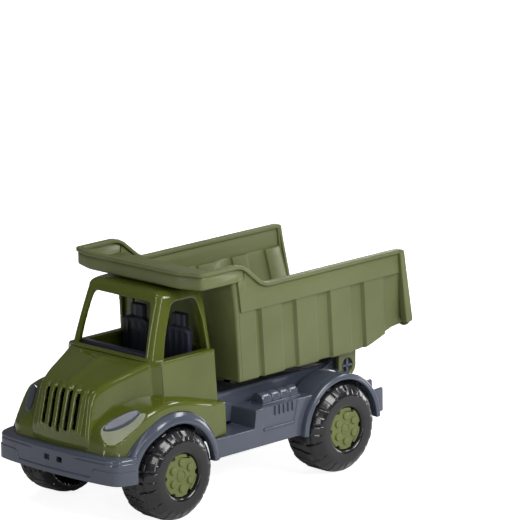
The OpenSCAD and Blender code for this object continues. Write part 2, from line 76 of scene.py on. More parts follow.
front_low, front_high = node_box("front_axle")
rear_low, rear_high = node_box("rear_axle")
AXLE_Y = (front_low[1] + front_high[1]) / 2
AXLE_Z = (front_low[2] + front_high[2]) / 2
WHEELBASE = (rear_low[1] + rear_high[1]) / 2 - AXLE_Y
bed_low, bed_high = node_box("dump_bed")
cab_low, cab_high = node_box("cab_shell")
chassis_low, chassis_high = node_box("chassis")
tyre_low, tyre_high = node_box("tyre_front_left")
for corner in (bed_low, bed_high, cab_low, cab_high, chassis_low, chassis_high, tyre_low, tyre_high):
    corner[1] -= AXLE_Y
TYRE_R = (tyre_high[2] - tyre_low[2]) / 2
print(f"front axle at y {AXLE_Y:.1f}, z {AXLE_Z:.1f}; wheelbase {WHEELBASE:.1f}; tyre radius {TYRE_R:.1f}")

# %% [markdown]
# ## Camera
# The truck is seen from its front left, a little above, through a long lens: the far
# wheels are almost as large as the near ones. The camera stands about three metres off.
# Its aim is a point beside the truck, so that the truck stands low on the left of the
# picture without any lens shift.

# %% Camera
VIEW_AZIMUTH, VIEW_ELEVATION, VIEW_ROLL = 44.59, 13.227, -0.684
VIEW_DISTANCE = 3183.6          # mm from the eye to the aim
VIEW_ANGLE = 6.681              # degrees across the picture
VIEW_AIM = (14.02, 134.74, 153.86)   # mm, from the front axle on the ground


def look_from(azimuth, elevation, roll):
    """Camera's axes: back points from the aim to the eye, right and up span the picture."""
    a, e, r = (math.radians(v) for v in (azimuth, elevation, roll))
    back = Vector((math.sin(a) * math.cos(e), -math.cos(a) * math.cos(e), math.sin(e)))
    right = Vector((math.cos(a), math.sin(a), 0))
    up = back.cross(right)
    return back, math.cos(r) * right + math.sin(r) * up, math.cos(r) * up - math.sin(r) * right


back, right, up = look_from(VIEW_AZIMUTH, VIEW_ELEVATION, VIEW_ROLL)
aim = (Vector(VIEW_AIM) + Vector((0, AXLE_Y, 0))) * MM
camera_data = bpy.data.cameras.new("camera")
camera_data.sensor_width = 36
camera_data.lens = 18 / math.tan(math.radians(VIEW_ANGLE / 2))
camera_data.clip_start, camera_data.clip_end = 0.1, 30
camera = bpy.data.objects.new("camera", camera_data)
bpy.context.scene.collection.objects.link(camera)
facing = Matrix((right, up, back)).transposed().to_4x4()
camera.matrix_world = Matrix.Translation(aim + back * VIEW_DISTANCE * MM) @ facing
bpy.context.scene.camera = camera
print("lens", round(camera_data.lens, 1), "mm; eye at", [round(v, 3) for v in camera.location])

# %% [markdown]
# ## Light and floor
# Glossy plastic is described by what it mirrors, so the light is a photographer's. A
# large soft box stands high on the left, and two tall strips in front draw the long
# highlights down the cab's corner post and the tyres. A small box from the front lights
# the lamps' facets. Behind the truck stand a low box for the tail, a narrow one that
# draws a bright line along every edge that runs from front to rear, and a weak fill on
# the right. The sky is dim for the truck and white for the camera, and so is the floor.

# %% Lights, sky and floor
scene = bpy.context.scene
scene.view_settings.view_transform = "Standard"
SKY_ON_TRUCK = 0.10             # strength of the sky that lights the truck
FLOOR_GLOW = 0.88               # what the floor adds, for the camera only, to look white


def soft_box(name, place, size, watts, target=(0, 60, 70)):
    """A rectangular lamp at place (mm from the front axle), turned towards target."""
    data = bpy.data.lights.new(name, "AREA")
    data.shape, data.energy = "RECTANGLE", watts
    data.size, data.size_y = size
    lamp = bpy.data.objects.new(name, data)
    scene.collection.objects.link(lamp)
    shift = Vector((0, AXLE_Y, 0))
    lamp.location = (Vector(place) + shift) * MM
    aim_at = (Vector(target) + shift) * MM
    lamp.rotation_mode = "QUATERNION"
    lamp.rotation_quaternion = (aim_at - lamp.location).to_track_quat("-Z", "Y")
    return lamp


soft_box("key_box", (1200, 260, 980), (0.75, 0.7), 15.0)
soft_box("strip_box", (-350, -1300, 420), (0.14, 0.9), 2.2)
soft_box("front_box", (-160, -660, 1240), (0.40, 0.30), 1.5)
soft_box("side_strip", (1050, -560, 330), (0.08, 0.7), 1.6)
soft_box("rear_box", (250, 1500, 220), (0.9, 0.35), 4.5)
soft_box("edge_box", (330, 1060, 960), (0.6, 0.22), 3.2)
soft_box("fill_box", (-620, 1280, 420), (0.6, 0.4), 3.5)

world = bpy.data.worlds.new("studio")
scene.world = world
world.use_nodes = True
sky = world.node_tree
sky.nodes.clear()
sky_out = sky.nodes.new("ShaderNodeOutputWorld")
sky_mix = sky.nodes.new("ShaderNodeMixShader")
sky_dim = sky.nodes.new("ShaderNodeBackground")
sky_white = sky.nodes.new("ShaderNodeBackground")
sky_dim.inputs["Color"].default_value = (1, 1, 1, 1)
sky_dim.inputs["Strength"].default_value = SKY_ON_TRUCK
sky_white.inputs["Color"].default_value = (1, 1, 1, 1)
sky_white.inputs["Strength"].default_value = 1.0
sky_path = sky.nodes.new("ShaderNodeLightPath")
sky.links.new(sky_path.outputs["Is Camera Ray"], sky_mix.inputs["Fac"])
sky.links.new(sky_dim.outputs[0], sky_mix.inputs[1])
sky.links.new(sky_white.outputs[0], sky_mix.inputs[2])
sky.links.new(sky_mix.outputs[0], sky_out.inputs["Surface"])


def pale_floor(radius=8.0):
    """A large disc at the height of the tyres' lowest point, white to the eye away from the truck."""
    angle = np.linspace(0, 2 * np.pi, 65)[:-1]
    ring = np.stack([radius * np.cos(angle), radius * np.sin(angle), np.zeros(64)], 1)
    data = bpy.data.meshes.new("floor")
    data.from_pydata(ring.tolist(), [], [list(range(64))])
    floor = bpy.data.objects.new("floor", data)
    scene.collection.objects.link(floor)
    mat = bpy.data.materials.new("pale_floor")
    mat.use_nodes = True
    tree = mat.node_tree
    tree.nodes.clear()
    out = tree.nodes.new("ShaderNodeOutputMaterial")
    matt = tree.nodes.new("ShaderNodeBsdfDiffuse")
    matt.inputs["Color"].default_value = (0.86, 0.86, 0.86, 1)
    glow = tree.nodes.new("ShaderNodeEmission")
    glow.inputs["Color"].default_value = (1, 1, 1, 1)
    glow.inputs["Strength"].default_value = FLOOR_GLOW
    both = tree.nodes.new("ShaderNodeAddShader")
    seen = tree.nodes.new("ShaderNodeLightPath")
    mix = tree.nodes.new("ShaderNodeMixShader")
    tree.links.new(matt.outputs[0], both.inputs[0])
    tree.links.new(glow.outputs[0], both.inputs[1])
    tree.links.new(seen.outputs["Is Camera Ray"], mix.inputs["Fac"])
    tree.links.new(matt.outputs[0], mix.inputs[1])
    tree.links.new(both.outputs[0], mix.inputs[2])
    tree.links.new(mix.outputs[0], out.inputs["Surface"])
    data.materials.append(mat)
    return floor


pale_floor()

# %% [markdown]
# ## Tools for surfaces
# A shape here is a pair: an array of points in millimetres, and a list of face arrays
# that hold point numbers. `grid` turns a two-parameter array of points into quads.
# `prism` carries an outline along an axis and rounds both rims, because no edge of a
# moulding is sharp. `ring` spins a profile about an axle. Everything is computed as
# whole arrays, and closed shapes are turned outwards by the sign of their volume.

# %% Corner rounding and outline offset
def rounded(corners, steps=5, closed=True):
    """Outline of rows (a, b, rounding). Each corner becomes a quadratic curve that
    starts and ends that far from it: (1-u)^2 start + 2u(1-u) corner + u^2 end."""
    c = np.asarray(corners, float)
    p, r = c[:, :-1], c[:, -1]
    before, after = np.roll(p, 1, 0) - p, np.roll(p, -1, 0) - p
    lb, la = np.linalg.norm(before, axis=1), np.linalg.norm(after, axis=1)
    d = np.minimum(r, 0.45 * np.minimum(lb, la))
    if not closed:
        d[[0, -1]] = 0
    start = p + before * (d / np.maximum(lb, 1e-9))[:, None]
    end = p + after * (d / np.maximum(la, 1e-9))[:, None]
    u = np.linspace(0, 1, steps + 1)[None, :, None]
    curve = (1 - u) ** 2 * start[:, None] + 2 * u * (1 - u) * p[:, None] + u ** 2 * end[:, None]
    keep = np.ones(curve.shape[:2], bool)
    keep[d < 1e-6, 1:] = False
    return curve[keep]


def shrunk(outline, amount):
    """A closed anticlockwise outline moved inwards by amount, square to its edges."""
    edge = np.roll(outline, -1, 0) - outline
    edge /= np.maximum(np.linalg.norm(edge, axis=1), 1e-9)[:, None]
    normal = np.stack([-edge[:, 1], edge[:, 0]], 1)
    other = np.roll(normal, 1, 0)
    both = (normal + other) / np.maximum(1 + (normal * other).sum(1), 0.35)[:, None]
    return outline + amount * both


def along(points, distance=None, count=None):
    """Points every distance along an open polyline, or count of them, ends kept."""
    p = np.asarray(points, float)
    s = np.concatenate([[0], np.cumsum(np.linalg.norm(np.diff(p, axis=0), axis=1))])
    t = np.linspace(0, s[-1], count or max(2, int(round(s[-1] / distance)) + 1))
    return np.stack([np.interp(t, s, p[:, k]) for k in range(p.shape[1])], 1)


# %% Surfaces
def grid(points, wrap_u=False, wrap_v=False):
    """Quads between neighbours of an array of points with shape (u, v, 3)."""
    nu, nv = points.shape[:2]
    i = np.arange(nu if wrap_u else nu - 1)[:, None]
    j = np.arange(nv if wrap_v else nv - 1)[None, :]
    i2, j2 = (i + 1) % nu, (j + 1) % nv
    quads = np.stack(np.broadcast_arrays(i * nv + j, i2 * nv + j, i2 * nv + j2, i * nv + j2), -1)
    return points.reshape(-1, 3), [quads.reshape(-1, 4)]


def flipped(shape):
    """The shape with every face turned over."""
    return shape[0], [f[:, ::-1] for f in shape[1]]


def outwards(shape):
    """A closed shape with its faces turned outwards: its volume, the sum of the
    tetrahedra from the middle to each face, has to be positive."""
    points, faces = shape
    p = points - points.mean(0)
    volume = 0.0
    for f in faces:
        fan = np.stack([p[f[:, 0]]] * (f.shape[1] - 2), 1)
        cross = np.cross(p[f[:, 1:-1]], p[f[:, 2:]])
        volume += (fan * cross).sum()
    return shape if volume > 0 else flipped(shape)


def moved(shape, offset=(0, 0, 0), turn=None):
    """The shape turned by a matrix, then shifted."""
    points = shape[0] if turn is None else shape[0] @ np.asarray(turn, float).T
    return points + np.asarray(offset, float), shape[1]


def mirrored(shape):
    """The shape on the truck's other side, faces reversed so that they still point out."""
    return flipped((shape[0] * [-1, 1, 1], shape[1]))


def both(shape):
    """A shape and its mirror image."""
    return [shape, mirrored(shape)]


# Places of an outline's (a, b) and its depth c in X, Y, Z, for each direction of extrusion
EXTRUDE = {
    "x": lambda p: p[..., [2, 0, 1]],
    "y": lambda p: np.stack([p[..., 0], -p[..., 2], p[..., 1]], -1),
    "z": lambda p: p,
}


def prism(outline, low, high, axis="z", edge=0.6, steps=3):
    """A closed outline carried from low to high, both rims rounded by a quarter circle:
    at angle t the outline is shrunk by edge (1 - sin t) and lies edge (1 - cos t) in."""
    outline = np.asarray(outline, float)
    if axis == "y":
        low, high = -high, -low
    edge = min(edge, (high - low) * 0.49)
    t = np.linspace(0, np.pi / 2, steps + 1)
    inset = np.concatenate([edge * (1 - np.sin(t)), edge * (1 - np.sin(t[::-1]))])
    depth = np.concatenate([low + edge * (1 - np.cos(t)), high - edge * (1 - np.cos(t[::-1]))])
    rings = np.stack([np.column_stack([shrunk(outline, a), np.full(len(outline), z)])
                      for a, z in zip(inset, depth)])
    points, faces = grid(EXTRUDE[axis](rings), wrap_v=True)
    n, last = len(outline), (len(rings) - 1) * len(outline)
    caps = [np.arange(n)[None, ::-1], np.arange(last, last + n)[None, :]]
    return outwards((points, faces + caps))


def box(x0, x1, y0, y1, z0, z1, corner=1.0, edge=0.6):
    """A block with rounded upright corners and rounded rims."""
    plan = rounded([[x0, y0, corner], [x1, y0, corner], [x1, y1, corner], [x0, y1, corner]], 3)
    return prism(plan, z0, z1, "z", edge)


def ring(profile, y, z, count, start=0.0, sweep=360.0):
    """A closed profile of rows (radius, x) spun about the line through (y, z) along X:
    at angle a it lies at y + radius cos a, z + radius sin a. Open ends are capped."""
    whole = sweep == 360.0
    angle = np.radians(start + np.linspace(0, sweep, count + (0 if whole else 1), endpoint=not whole))
    r, x = np.asarray(profile, float).T
    points = np.stack([np.broadcast_to(x, (len(angle), len(x))),
                       y + np.cos(angle)[:, None] * r, z + np.sin(angle)[:, None] * r], -1)
    verts, faces = grid(points, wrap_u=whole, wrap_v=True)
    if not whole:
        n, last = points.shape[1], (points.shape[0] - 1) * points.shape[1]
        faces = faces + [np.arange(n)[None, ::-1], np.arange(last, last + n)[None, :]]
    return outwards((verts, faces))


def smooth_step(x, low, high):
    """0 below low, 1 above high, and 3t^2 - 2t^3 between."""
    t = np.clip((x - low) / (high - low), 0, 1)
    return t * t * (3 - 2 * t)


def within(x, low, low_end, high, high_end):
    """1 from low_end to high, falling smoothly to 0 at low and at high_end."""
    return smooth_step(x, low, low_end) * (1 - smooth_step(x, high, high_end))


# %% Pieces
pieces = []
MERGE = 0.01                    # points closer than this become one


def make_piece(name, shapes, material, body, slot, stands_for=(), wall=0.0, bevel=0.0, sharp=35.0):
    """Joins shapes into one mesh at its place in the frame, and gives it its modifiers,
    finish and body. A wall thickens an open sheet inwards, away from its normals."""
    counts = np.cumsum([0] + [len(s[0]) for s in shapes])
    points = np.concatenate([s[0] for s in shapes]) + [0, AXLE_Y, 0]
    faces = [f + base for s, base in zip(shapes, counts) for f in s[1]]
    sizes = np.concatenate([np.full(len(f), f.shape[1]) for f in faces])
    loops = np.concatenate([f.ravel() for f in faces])
    data = bpy.data.meshes.new(name)
    data.vertices.add(len(points))
    data.vertices.foreach_set("co", (points * MM).astype(np.float32).ravel())
    data.loops.add(len(loops))
    data.loops.foreach_set("vertex_index", loops.astype(np.int32))
    data.polygons.add(len(sizes))
    starts = np.concatenate([[0], np.cumsum(sizes)[:-1]])
    data.polygons.foreach_set("loop_start", starts.astype(np.int32))
    data.update(calc_edges=True)
    data.validate()
    data.materials.append(material)
    piece = bpy.data.objects.new(name, data)
    scene.collection.objects.link(piece)
    piece.modifiers.new("weld", "WELD").merge_threshold = MERGE * MM
    if wall:
        thick = piece.modifiers.new("wall", "SOLIDIFY")
        thick.thickness, thick.offset = wall * MM, -1
        thick.use_even_offset = False
        thick.use_quality_normals = True
    if bevel:
        soft = piece.modifiers.new("soft_edges", "BEVEL")
        soft.width, soft.segments = bevel * MM, 2
        soft.limit_method, soft.angle_limit = "ANGLE", math.radians(50)
        soft.harden_normals = False
    data.shade_smooth()
    data.set_sharp_from_angle(angle=math.radians(sharp))
    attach(piece, body)
    if stands_for:
        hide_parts(*stands_for)
    pieces.append(piece)
    print(f"{name}: {len(points)} points, {len(sizes)} faces, rides {body}")
    return piece

# %% [markdown]
# ## Finishes
# All of the truck is dyed polypropylene and similar plastic, and the six finishes differ
# in colour and in how the mould was polished. The bed's olive is painted paler with the
# sheen of its satin, and the interior's blue-grey is painted darker with the shade in the
# cab. Each one has the same parts: a base colour that drifts a little, as dye does where
# the melt flowed, a roughness that varies in soft clouds, a very fine grain in the bump,
# and fine rubbing marks that make the gloss uneven. The colour drift and the marks read
# Object coordinates, in metres.

# %% Plastic
def colour(red, green, blue):
    """Display colour from 0 to 255 to the linear values that a shader takes."""
    c = np.array([red, green, blue]) / 255
    return (*np.where(c <= 0.04045, c / 12.92, ((c + 0.055) / 1.055) ** 2.4).tolist(), 1.0)


def plastic(name, light, dark, gloss, grain, grain_size=0.0009, coat=0.0, marks=0.5):
    """Moulded plastic. Colour: light and dark mixed by slow noise. Roughness: gloss
    plus a share of slow noise and of fine streaks. Bump: fine noise of height grain
    over slow sink marks."""
    mat = bpy.data.materials.new(name)
    mat.use_nodes = True
    tree = mat.node_tree
    link = tree.links.new
    skin = tree.nodes["Principled BSDF"]
    place = tree.nodes.new("ShaderNodeTexCoord")

    def noise(scale, detail, stretch=None):
        """Noise on Object coordinates, if need be stretched along one axis."""
        n = tree.nodes.new("ShaderNodeTexNoise")
        n.inputs["Scale"].default_value, n.inputs["Detail"].default_value = scale, detail
        source = place.outputs["Object"]
        if stretch:
            m = tree.nodes.new("ShaderNodeMapping")
            m.inputs["Scale"].default_value = stretch
            link(source, m.inputs["Vector"])
            source = m.outputs["Vector"]
        link(source, n.inputs["Vector"])
        return n.outputs["Fac"]

    def spread(source, low, high, from_low=0.35, from_high=0.65):
        """The range from_low to from_high of a source mapped on low to high."""
        r = tree.nodes.new("ShaderNodeMapRange")
        r.inputs["From Min"].default_value, r.inputs["From Max"].default_value = from_low, from_high
        r.inputs["To Min"].default_value, r.inputs["To Max"].default_value = low, high
        link(source, r.inputs["Value"])
        return r.outputs["Result"]

    mix = tree.nodes.new("ShaderNodeMix")
    mix.data_type = "RGBA"
    mix.inputs["A"].default_value, mix.inputs["B"].default_value = light, dark
    link(spread(noise(22, 3), 0, 1), mix.inputs["Factor"])
    link(mix.outputs["Result"], skin.inputs["Base Color"])
    rub = tree.nodes.new("ShaderNodeMath")
    rub.operation = "ADD"
    link(spread(noise(45, 4), gloss - 0.04, gloss + 0.05), rub.inputs[0])
    link(spread(noise(60, 6, (1, 14, 3)), 0, 0.10 * marks, 0.55, 0.75), rub.inputs[1])
    link(rub.outputs["Value"], skin.inputs["Roughness"])
    fine = tree.nodes.new("ShaderNodeBump")
    fine.inputs["Strength"].default_value = grain
    fine.inputs["Distance"].default_value = 0.0002
    link(noise(1 / grain_size, 2), fine.inputs["Height"])
    sink = tree.nodes.new("ShaderNodeBump")
    sink.inputs["Strength"].default_value = 0.12
    sink.inputs["Distance"].default_value = 0.0010
    link(noise(30, 1), sink.inputs["Height"])
    link(sink.outputs["Normal"], fine.inputs["Normal"])
    link(fine.outputs["Normal"], skin.inputs["Normal"])
    skin.inputs["IOR"].default_value = 1.49
    skin.inputs["Coat Weight"].default_value = coat
    skin.inputs["Coat Roughness"].default_value = 0.06
    return mat


olive_gloss = plastic("olive_gloss", colour(94, 103, 36), colour(86, 95, 30), 0.17, 0.06, coat=0.4)
# The bed's olive is painted paler: the satin's sheen is held in its colour as painted sheen.
olive_satin = plastic("olive_satin", colour(110, 117, 74), colour(103, 110, 66), 0.40, 0.3)
olive_cap = plastic("olive_cap", colour(112, 120, 66), colour(104, 112, 58), 0.34, 0.25)
slate_gloss = plastic("slate_plastic", colour(84, 90, 105), colour(77, 83, 98), 0.19, 0.08, coat=0.3)
# The interior's finish is the chassis's blue-grey painted darker, as painted shade inside the cab.
shaded_slate_satin = plastic("navy_plastic", colour(44, 47, 62), colour(36, 38, 52), 0.38, 0.25)
black_gloss = plastic("black_plastic", colour(31, 31, 34), colour(24, 24, 27), 0.20, 0.12, coat=0.3)
finishes = (olive_gloss, olive_satin, olive_cap, slate_gloss, shaded_slate_satin, black_gloss)
print("finishes:", [m.name for m in finishes])

# %% [markdown]
# ## Axle rods
# The two steel rods are drawn wire with a turned end. Their solids are right as they
# are, so they keep their meshes and only get the metal: fine rings of drawing marks
# around the rod.

# %% Drawn steel
def drawn_steel():
    """Bright metal whose roughness follows fine bands along X, the drawing direction."""
    mat = bpy.data.materials.new("drawn_steel")
    mat.use_nodes = True
    tree = mat.node_tree
    skin = tree.nodes["Principled BSDF"]
    skin.inputs["Metallic"].default_value = 1.0
    skin.inputs["Base Color"].default_value = colour(188, 189, 192)
    place = tree.nodes.new("ShaderNodeTexCoord")
    squeeze = tree.nodes.new("ShaderNodeMapping")
    squeeze.inputs["Scale"].default_value = (40, 900, 900)
    tree.links.new(place.outputs["Object"], squeeze.inputs["Vector"])
    marks = tree.nodes.new("ShaderNodeTexNoise")
    marks.inputs["Scale"].default_value = 1.0
    tree.links.new(squeeze.outputs["Vector"], marks.inputs["Vector"])
    band = tree.nodes.new("ShaderNodeMapRange")
    band.inputs["To Min"].default_value, band.inputs["To Max"].default_value = 0.22, 0.45
    tree.links.new(marks.outputs["Fac"], band.inputs["Value"])
    tree.links.new(band.outputs["Result"], skin.inputs["Roughness"])
    return mat


steel = drawn_steel()
for rod in ("front_axle", "rear_axle"):
    for entry in nodes[rod].material_slots:
        entry.material = steel
    if not nodes[rod].material_slots:
        nodes[rod].data.materials.append(steel)
print("steel on", [n for n in nodes if n.endswith("axle")])

# %% [markdown]
# ## Wheels
# Each wheel is one blow of black plastic that imitates a balloon tyre: a smooth shiny
# side, a full round shoulder and a tread of hooked blocks. A boolean for each groove
# would be slow and brittle. Instead the whole wheel is one profile turned about the
# axle, and the tread is a depth subtracted from its radius: near a groove's line the
# surface sinks, and each block also slopes a little, which gives the saw-tooth outline.

# %% Tyre
BLOCKS = 14                     # tread blocks around each shoulder
GROOVE_W, GROOVE_D = 0.75, 1.15  # half width and depth of a groove
outer_x, inner_x = tyre_high[0], tyre_low[0]
cap_low, cap_high = node_box("hub_cap_front_left")
web_x = cap_low[0]
cap_r = (cap_high[2] - cap_low[2]) / 2
mid_x = (outer_x + 50.5) / 2

side_profile = rounded(np.array([
    [2.06, web_x, 0], [cap_r + 0.25, web_x, 0.3], [cap_r + 0.6, outer_x - 1.6, 0.8],
    [cap_r + 2.2, outer_x - 0.2, 1.4], [cap_r + 8.0, outer_x, 5.0], [TYRE_R - 6.0, outer_x - 0.8, 4.0],
    [TYRE_R - 1.0, outer_x - 5.6, 6.0], [TYRE_R, mid_x, 6.0], [TYRE_R - 0.3, inner_x + 4.6, 3.5],
    [TYRE_R - 2.6, inner_x + 0.3, 2.0], [TYRE_R - 6.5, inner_x, 0.8], [TYRE_R - 7.6, inner_x + 4.0, 1.5],
    [cap_r + 2.0, web_x - 3.0, 1.5], [5.0, web_x - 3.0, 0.8], [5.0, 37.8, 0.5], [2.06, 37.8, 0.3]]), 4)
side_profile = along(np.vstack([side_profile, side_profile[:1]]), 1.0)[:-1]


def tread_depth(angle, r, x):
    """How far the surface sinks. From either shoulder a groove runs across to a point
    past the middle and there turns along the tread for half a pitch. The depth is
    GROOVE_D (1 - s(distance / width)) times a fade that ends it on the sidewall."""
    pitch = 2 * np.pi / BLOCKS
    depth = np.zeros(np.broadcast(angle, r).shape)
    slope = np.zeros_like(depth)
    for shift, side in ((0.0, 1), (0.5, -1)):
        local = (x - mid_x) * side
        turn = ((angle / pitch + shift + 0.10 * local / 10) % 1.0 - 0.5) * pitch * TYRE_R
        across = np.where(local > -2.2, np.abs(turn), np.hypot(turn, local + 2.2))
        hooked = np.clip(turn, 0, 0.5 * pitch * TYRE_R)
        along_tread = np.hypot(turn - hooked, local + 2.2)
        distance = np.minimum(across, along_tread)
        groove = 1 - smooth_step(distance, GROOVE_W * 0.35, GROOVE_W * 1.2)
        depth = np.maximum(depth, GROOVE_D * groove)
        tooth = (angle / pitch + shift) % 1.0
        slope += 0.75 * tooth * smooth_step(local, 3.0, 8.0)
    fade = smooth_step(r, TYRE_R - 8.6, TYRE_R - 6.4) * smooth_step(x, inner_x, inner_x + 1.0)
    return (depth + slope) * fade


def tyre(y, side):
    """The turned profile with its tread; side is 1 for the left wheel and -1 for the right."""
    count = BLOCKS * 21
    angle = np.linspace(0, 2 * np.pi, count, endpoint=False)[:, None]
    r, x = side_profile[:, 0][None, :], side_profile[:, 1][None, :]
    sunk = r - tread_depth(angle, r, x)
    points = np.stack([np.broadcast_to(x, sunk.shape), y + sunk * np.cos(angle),
                       AXLE_Z + sunk * np.sin(angle)], -1)
    shape = outwards(grid(points, wrap_u=True, wrap_v=True))
    return shape if side > 0 else mirrored(shape)


# %% [markdown]
# ## Hub caps
# The green cap is a separate pressing that snaps into the black wheel. It carries six
# round studs like wheel nuts and a ring in its middle, and its rim has six half-round
# notches that show the black behind. The disc is one outline with its notches, given
# thickness, and the studs and the ring are small turned shapes seated in it.

# %% Hub cap
STUDS = 6
STUD_R, STUD_CIRCLE, NOTCH_R = 2.6, 9.3, 2.0
disc_x = cap_high[0] - 1.3


def hub_cap(y, side):
    """Disc outline: radius cap_r, and where the angle is within a notch, the near side
    of a circle of radius NOTCH_R that is centred just outside the rim."""
    angle = np.linspace(0, 2 * np.pi, STUDS * 48, endpoint=False)
    sector = 2 * np.pi / STUDS
    off = ((angle + sector / 2) / sector % 1.0 - 0.5) * sector
    centre = cap_r + 0.3
    chord = centre * np.cos(off) - np.sqrt(np.maximum(NOTCH_R ** 2 - (centre * np.sin(off)) ** 2, 0))
    inside = np.abs(centre * np.sin(off)) < NOTCH_R
    radius = np.where(inside, np.minimum(chord, cap_r), cap_r)
    outline = np.stack([y + radius * np.cos(angle + sector), AXLE_Z + radius * np.sin(angle + sector)], 1)
    shapes = [prism(outline, web_x, disc_x, "x", 0.5)]
    stud = rounded([[0.001, disc_x - 1, 0], [STUD_R + 0.15, disc_x - 1, 0], [STUD_R, cap_high[0], 0.8],
                    [0.001, cap_high[0] + 0.02, 0]], 4)
    for a in (np.arange(STUDS) + 0.5) * sector:
        shapes.append(ring(stud, y + STUD_CIRCLE * np.cos(a), AXLE_Z + STUD_CIRCLE * np.sin(a), 32))
    boss = rounded([[0.001, disc_x - 1, 0], [4.3, disc_x - 1, 0], [4.2, disc_x + 0.55, 0.35],
                    [3.4, disc_x + 0.55, 0.2], [3.2, disc_x + 0.1, 0.15], [2.6, disc_x + 0.1, 0.3],
                    [2.4, disc_x + 0.35, 0.2], [0.001, disc_x + 0.4, 0]], 3)
    shapes.append(ring(boss, y, AXLE_Z, 64))
    return shapes if side > 0 else [mirrored(s) for s in shapes]


# %% Four wheels
for end, y in (("front", 0.0), ("rear", WHEELBASE)):
    for hand, side in (("left", 1), ("right", -1)):
        corner = f"{end}_{hand}"
        make_piece(f"wheel_{corner}", [tyre(y, side)], black_gloss, f"wheel_{corner}", "black_plastic",
                   [f"tyre_{corner}"], sharp=50)
        make_piece(f"cap_{corner}", hub_cap(y, side), olive_cap, f"wheel_{corner}", "olive_gloss",
                   [f"hub_cap_{corner}"])

# %% [markdown]
# ## Bed
# The bed is a single thin moulding: a tub whose sides step in and out like pressed
# sheet, a smooth band above a small ledge, and a shallow tray over the cab. Boxes could
# be joined and hollowed for it, but every step would then be a cut. Here the walls are
# one ribbon of lines that run up from the floor, and each line knows how far it stands
# out, so the step, the lean and the rounded corner are all numbers on the same ribbon.
# Every line leans forward as it rises. The wall's thickness is added last.

# %% Bed sizes
WALL = 2.2
LEAN = 0.17                                  # forward lean for each millimetre of height
RIM_OUT, RIM_T = 3.0, 2.6                    # how far the rim stands out, and its thickness
TRAY_IN = 1.8                                # the tray's side, inside the rim's edge
hinge = next(j for j in frame["joints"] if j["name"] == "bed_tip")
pivot_y, pivot_z = hinge["pos_m"][1] / MM - AXLE_Y, hinge["pos_m"][2] / MM
floor_z = pivot_z + 12.9
rim_half = bed_high[0]
canopy_z = bed_high[2]
canopy_y = bed_low[1]
tail_low = bed_high[1]
band_z, rim_z, tail_z = 135.4, 153.1, 96.8
front_y, dip_y, slope_y = 62.5, 88.0, 66.5
canopy_low = canopy_z - 12.7
kick_y = WHEELBASE + 35
tail_y = tail_low - LEAN * (band_z - tail_z)
tail_high = tail_low - LEAN * (rim_z - tail_z)
RIBS, RIB_D, RIB_SHARE = 4, 2.4, 0.6
rib_front = 87.0
rib_pitch = (tail_y - 20.7 - rib_front) / (RIBS - 1 + RIB_SHARE)


def leaning(y, z):
    """Place along the truck of a line that passes y at the band's height."""
    return y + LEAN * (band_z - z)


def half_width(z):
    """Half width of the raised panels: straight from the floor to the band and on."""
    return np.interp(z, [floor_z - 4, band_z, canopy_z], [rim_half - 10.3, rim_half - 4.1, rim_half - 3.0])


floor_line = rounded([[40, floor_z, 0], [kick_y, floor_z, 9], [tail_low + 2, tail_z + 0.8, 0]],
                     8, closed=False)
top_line = rounded([[20, canopy_z, 0], [slope_y, canopy_z, 7], [dip_y, rim_z, 7], [260, rim_z, 0]],
                   8, closed=False)


def floor_height(y):
    """Height of the underside: flat, then a kick up to the tail."""
    return np.interp(y, floor_line[:, 0], floor_line[:, 1])


def rim_height(y):
    """Height of the mouth: high at the tray, a slope down, then flat."""
    return np.interp(y, top_line[:, 0], top_line[:, 1])


# %% Ribbon of wall lines
def panel_steps():
    """Rows (y at the band, how far out) of one side from the tail forward. A raised
    panel is 0 out, a hollow RIB_D in, and each step takes half a millimetre of length."""
    rows = [[tail_high + 0.6, 0.6], [tail_y - 5.0, 0.4], [tail_y - 11.0, -RIB_D]]
    for k in reversed(range(RIBS)):
        y = rib_front + k * rib_pitch
        y_end = y + RIB_SHARE * rib_pitch
        rows += [[y_end + 1.4, -RIB_D], [y_end + 0.7, -RIB_D], [y_end + 0.3, -0.9], [y_end - 0.1, -0.15],
                 [y_end - 0.6, 0.0], [y_end - 1.4, 0.0], [y + 1.8, 0.0], [y + 1.0, 0.0],
                 [y - 0.6, -RIB_D], [y - 1.4, -RIB_D]]
    rows += [[dip_y - 6, -0.4], [70.5, -0.4], [front_y + 0.8, -0.4]]
    return np.array(rows)


steps = panel_steps()
extra = np.concatenate([np.linspace(slope_y - 3, dip_y + 8, 27), np.linspace(66.7, 66.9, 2),
                        np.linspace(kick_y - 14, kick_y + 6, 12)])
line_y = np.unique(np.concatenate([steps[:, 0], extra]))[::-1]
line_out = np.interp(line_y, steps[::-1, 0], steps[::-1, 1])
corner_angle = np.linspace(np.pi / 2, 0, 7)
CORNER = 1.6


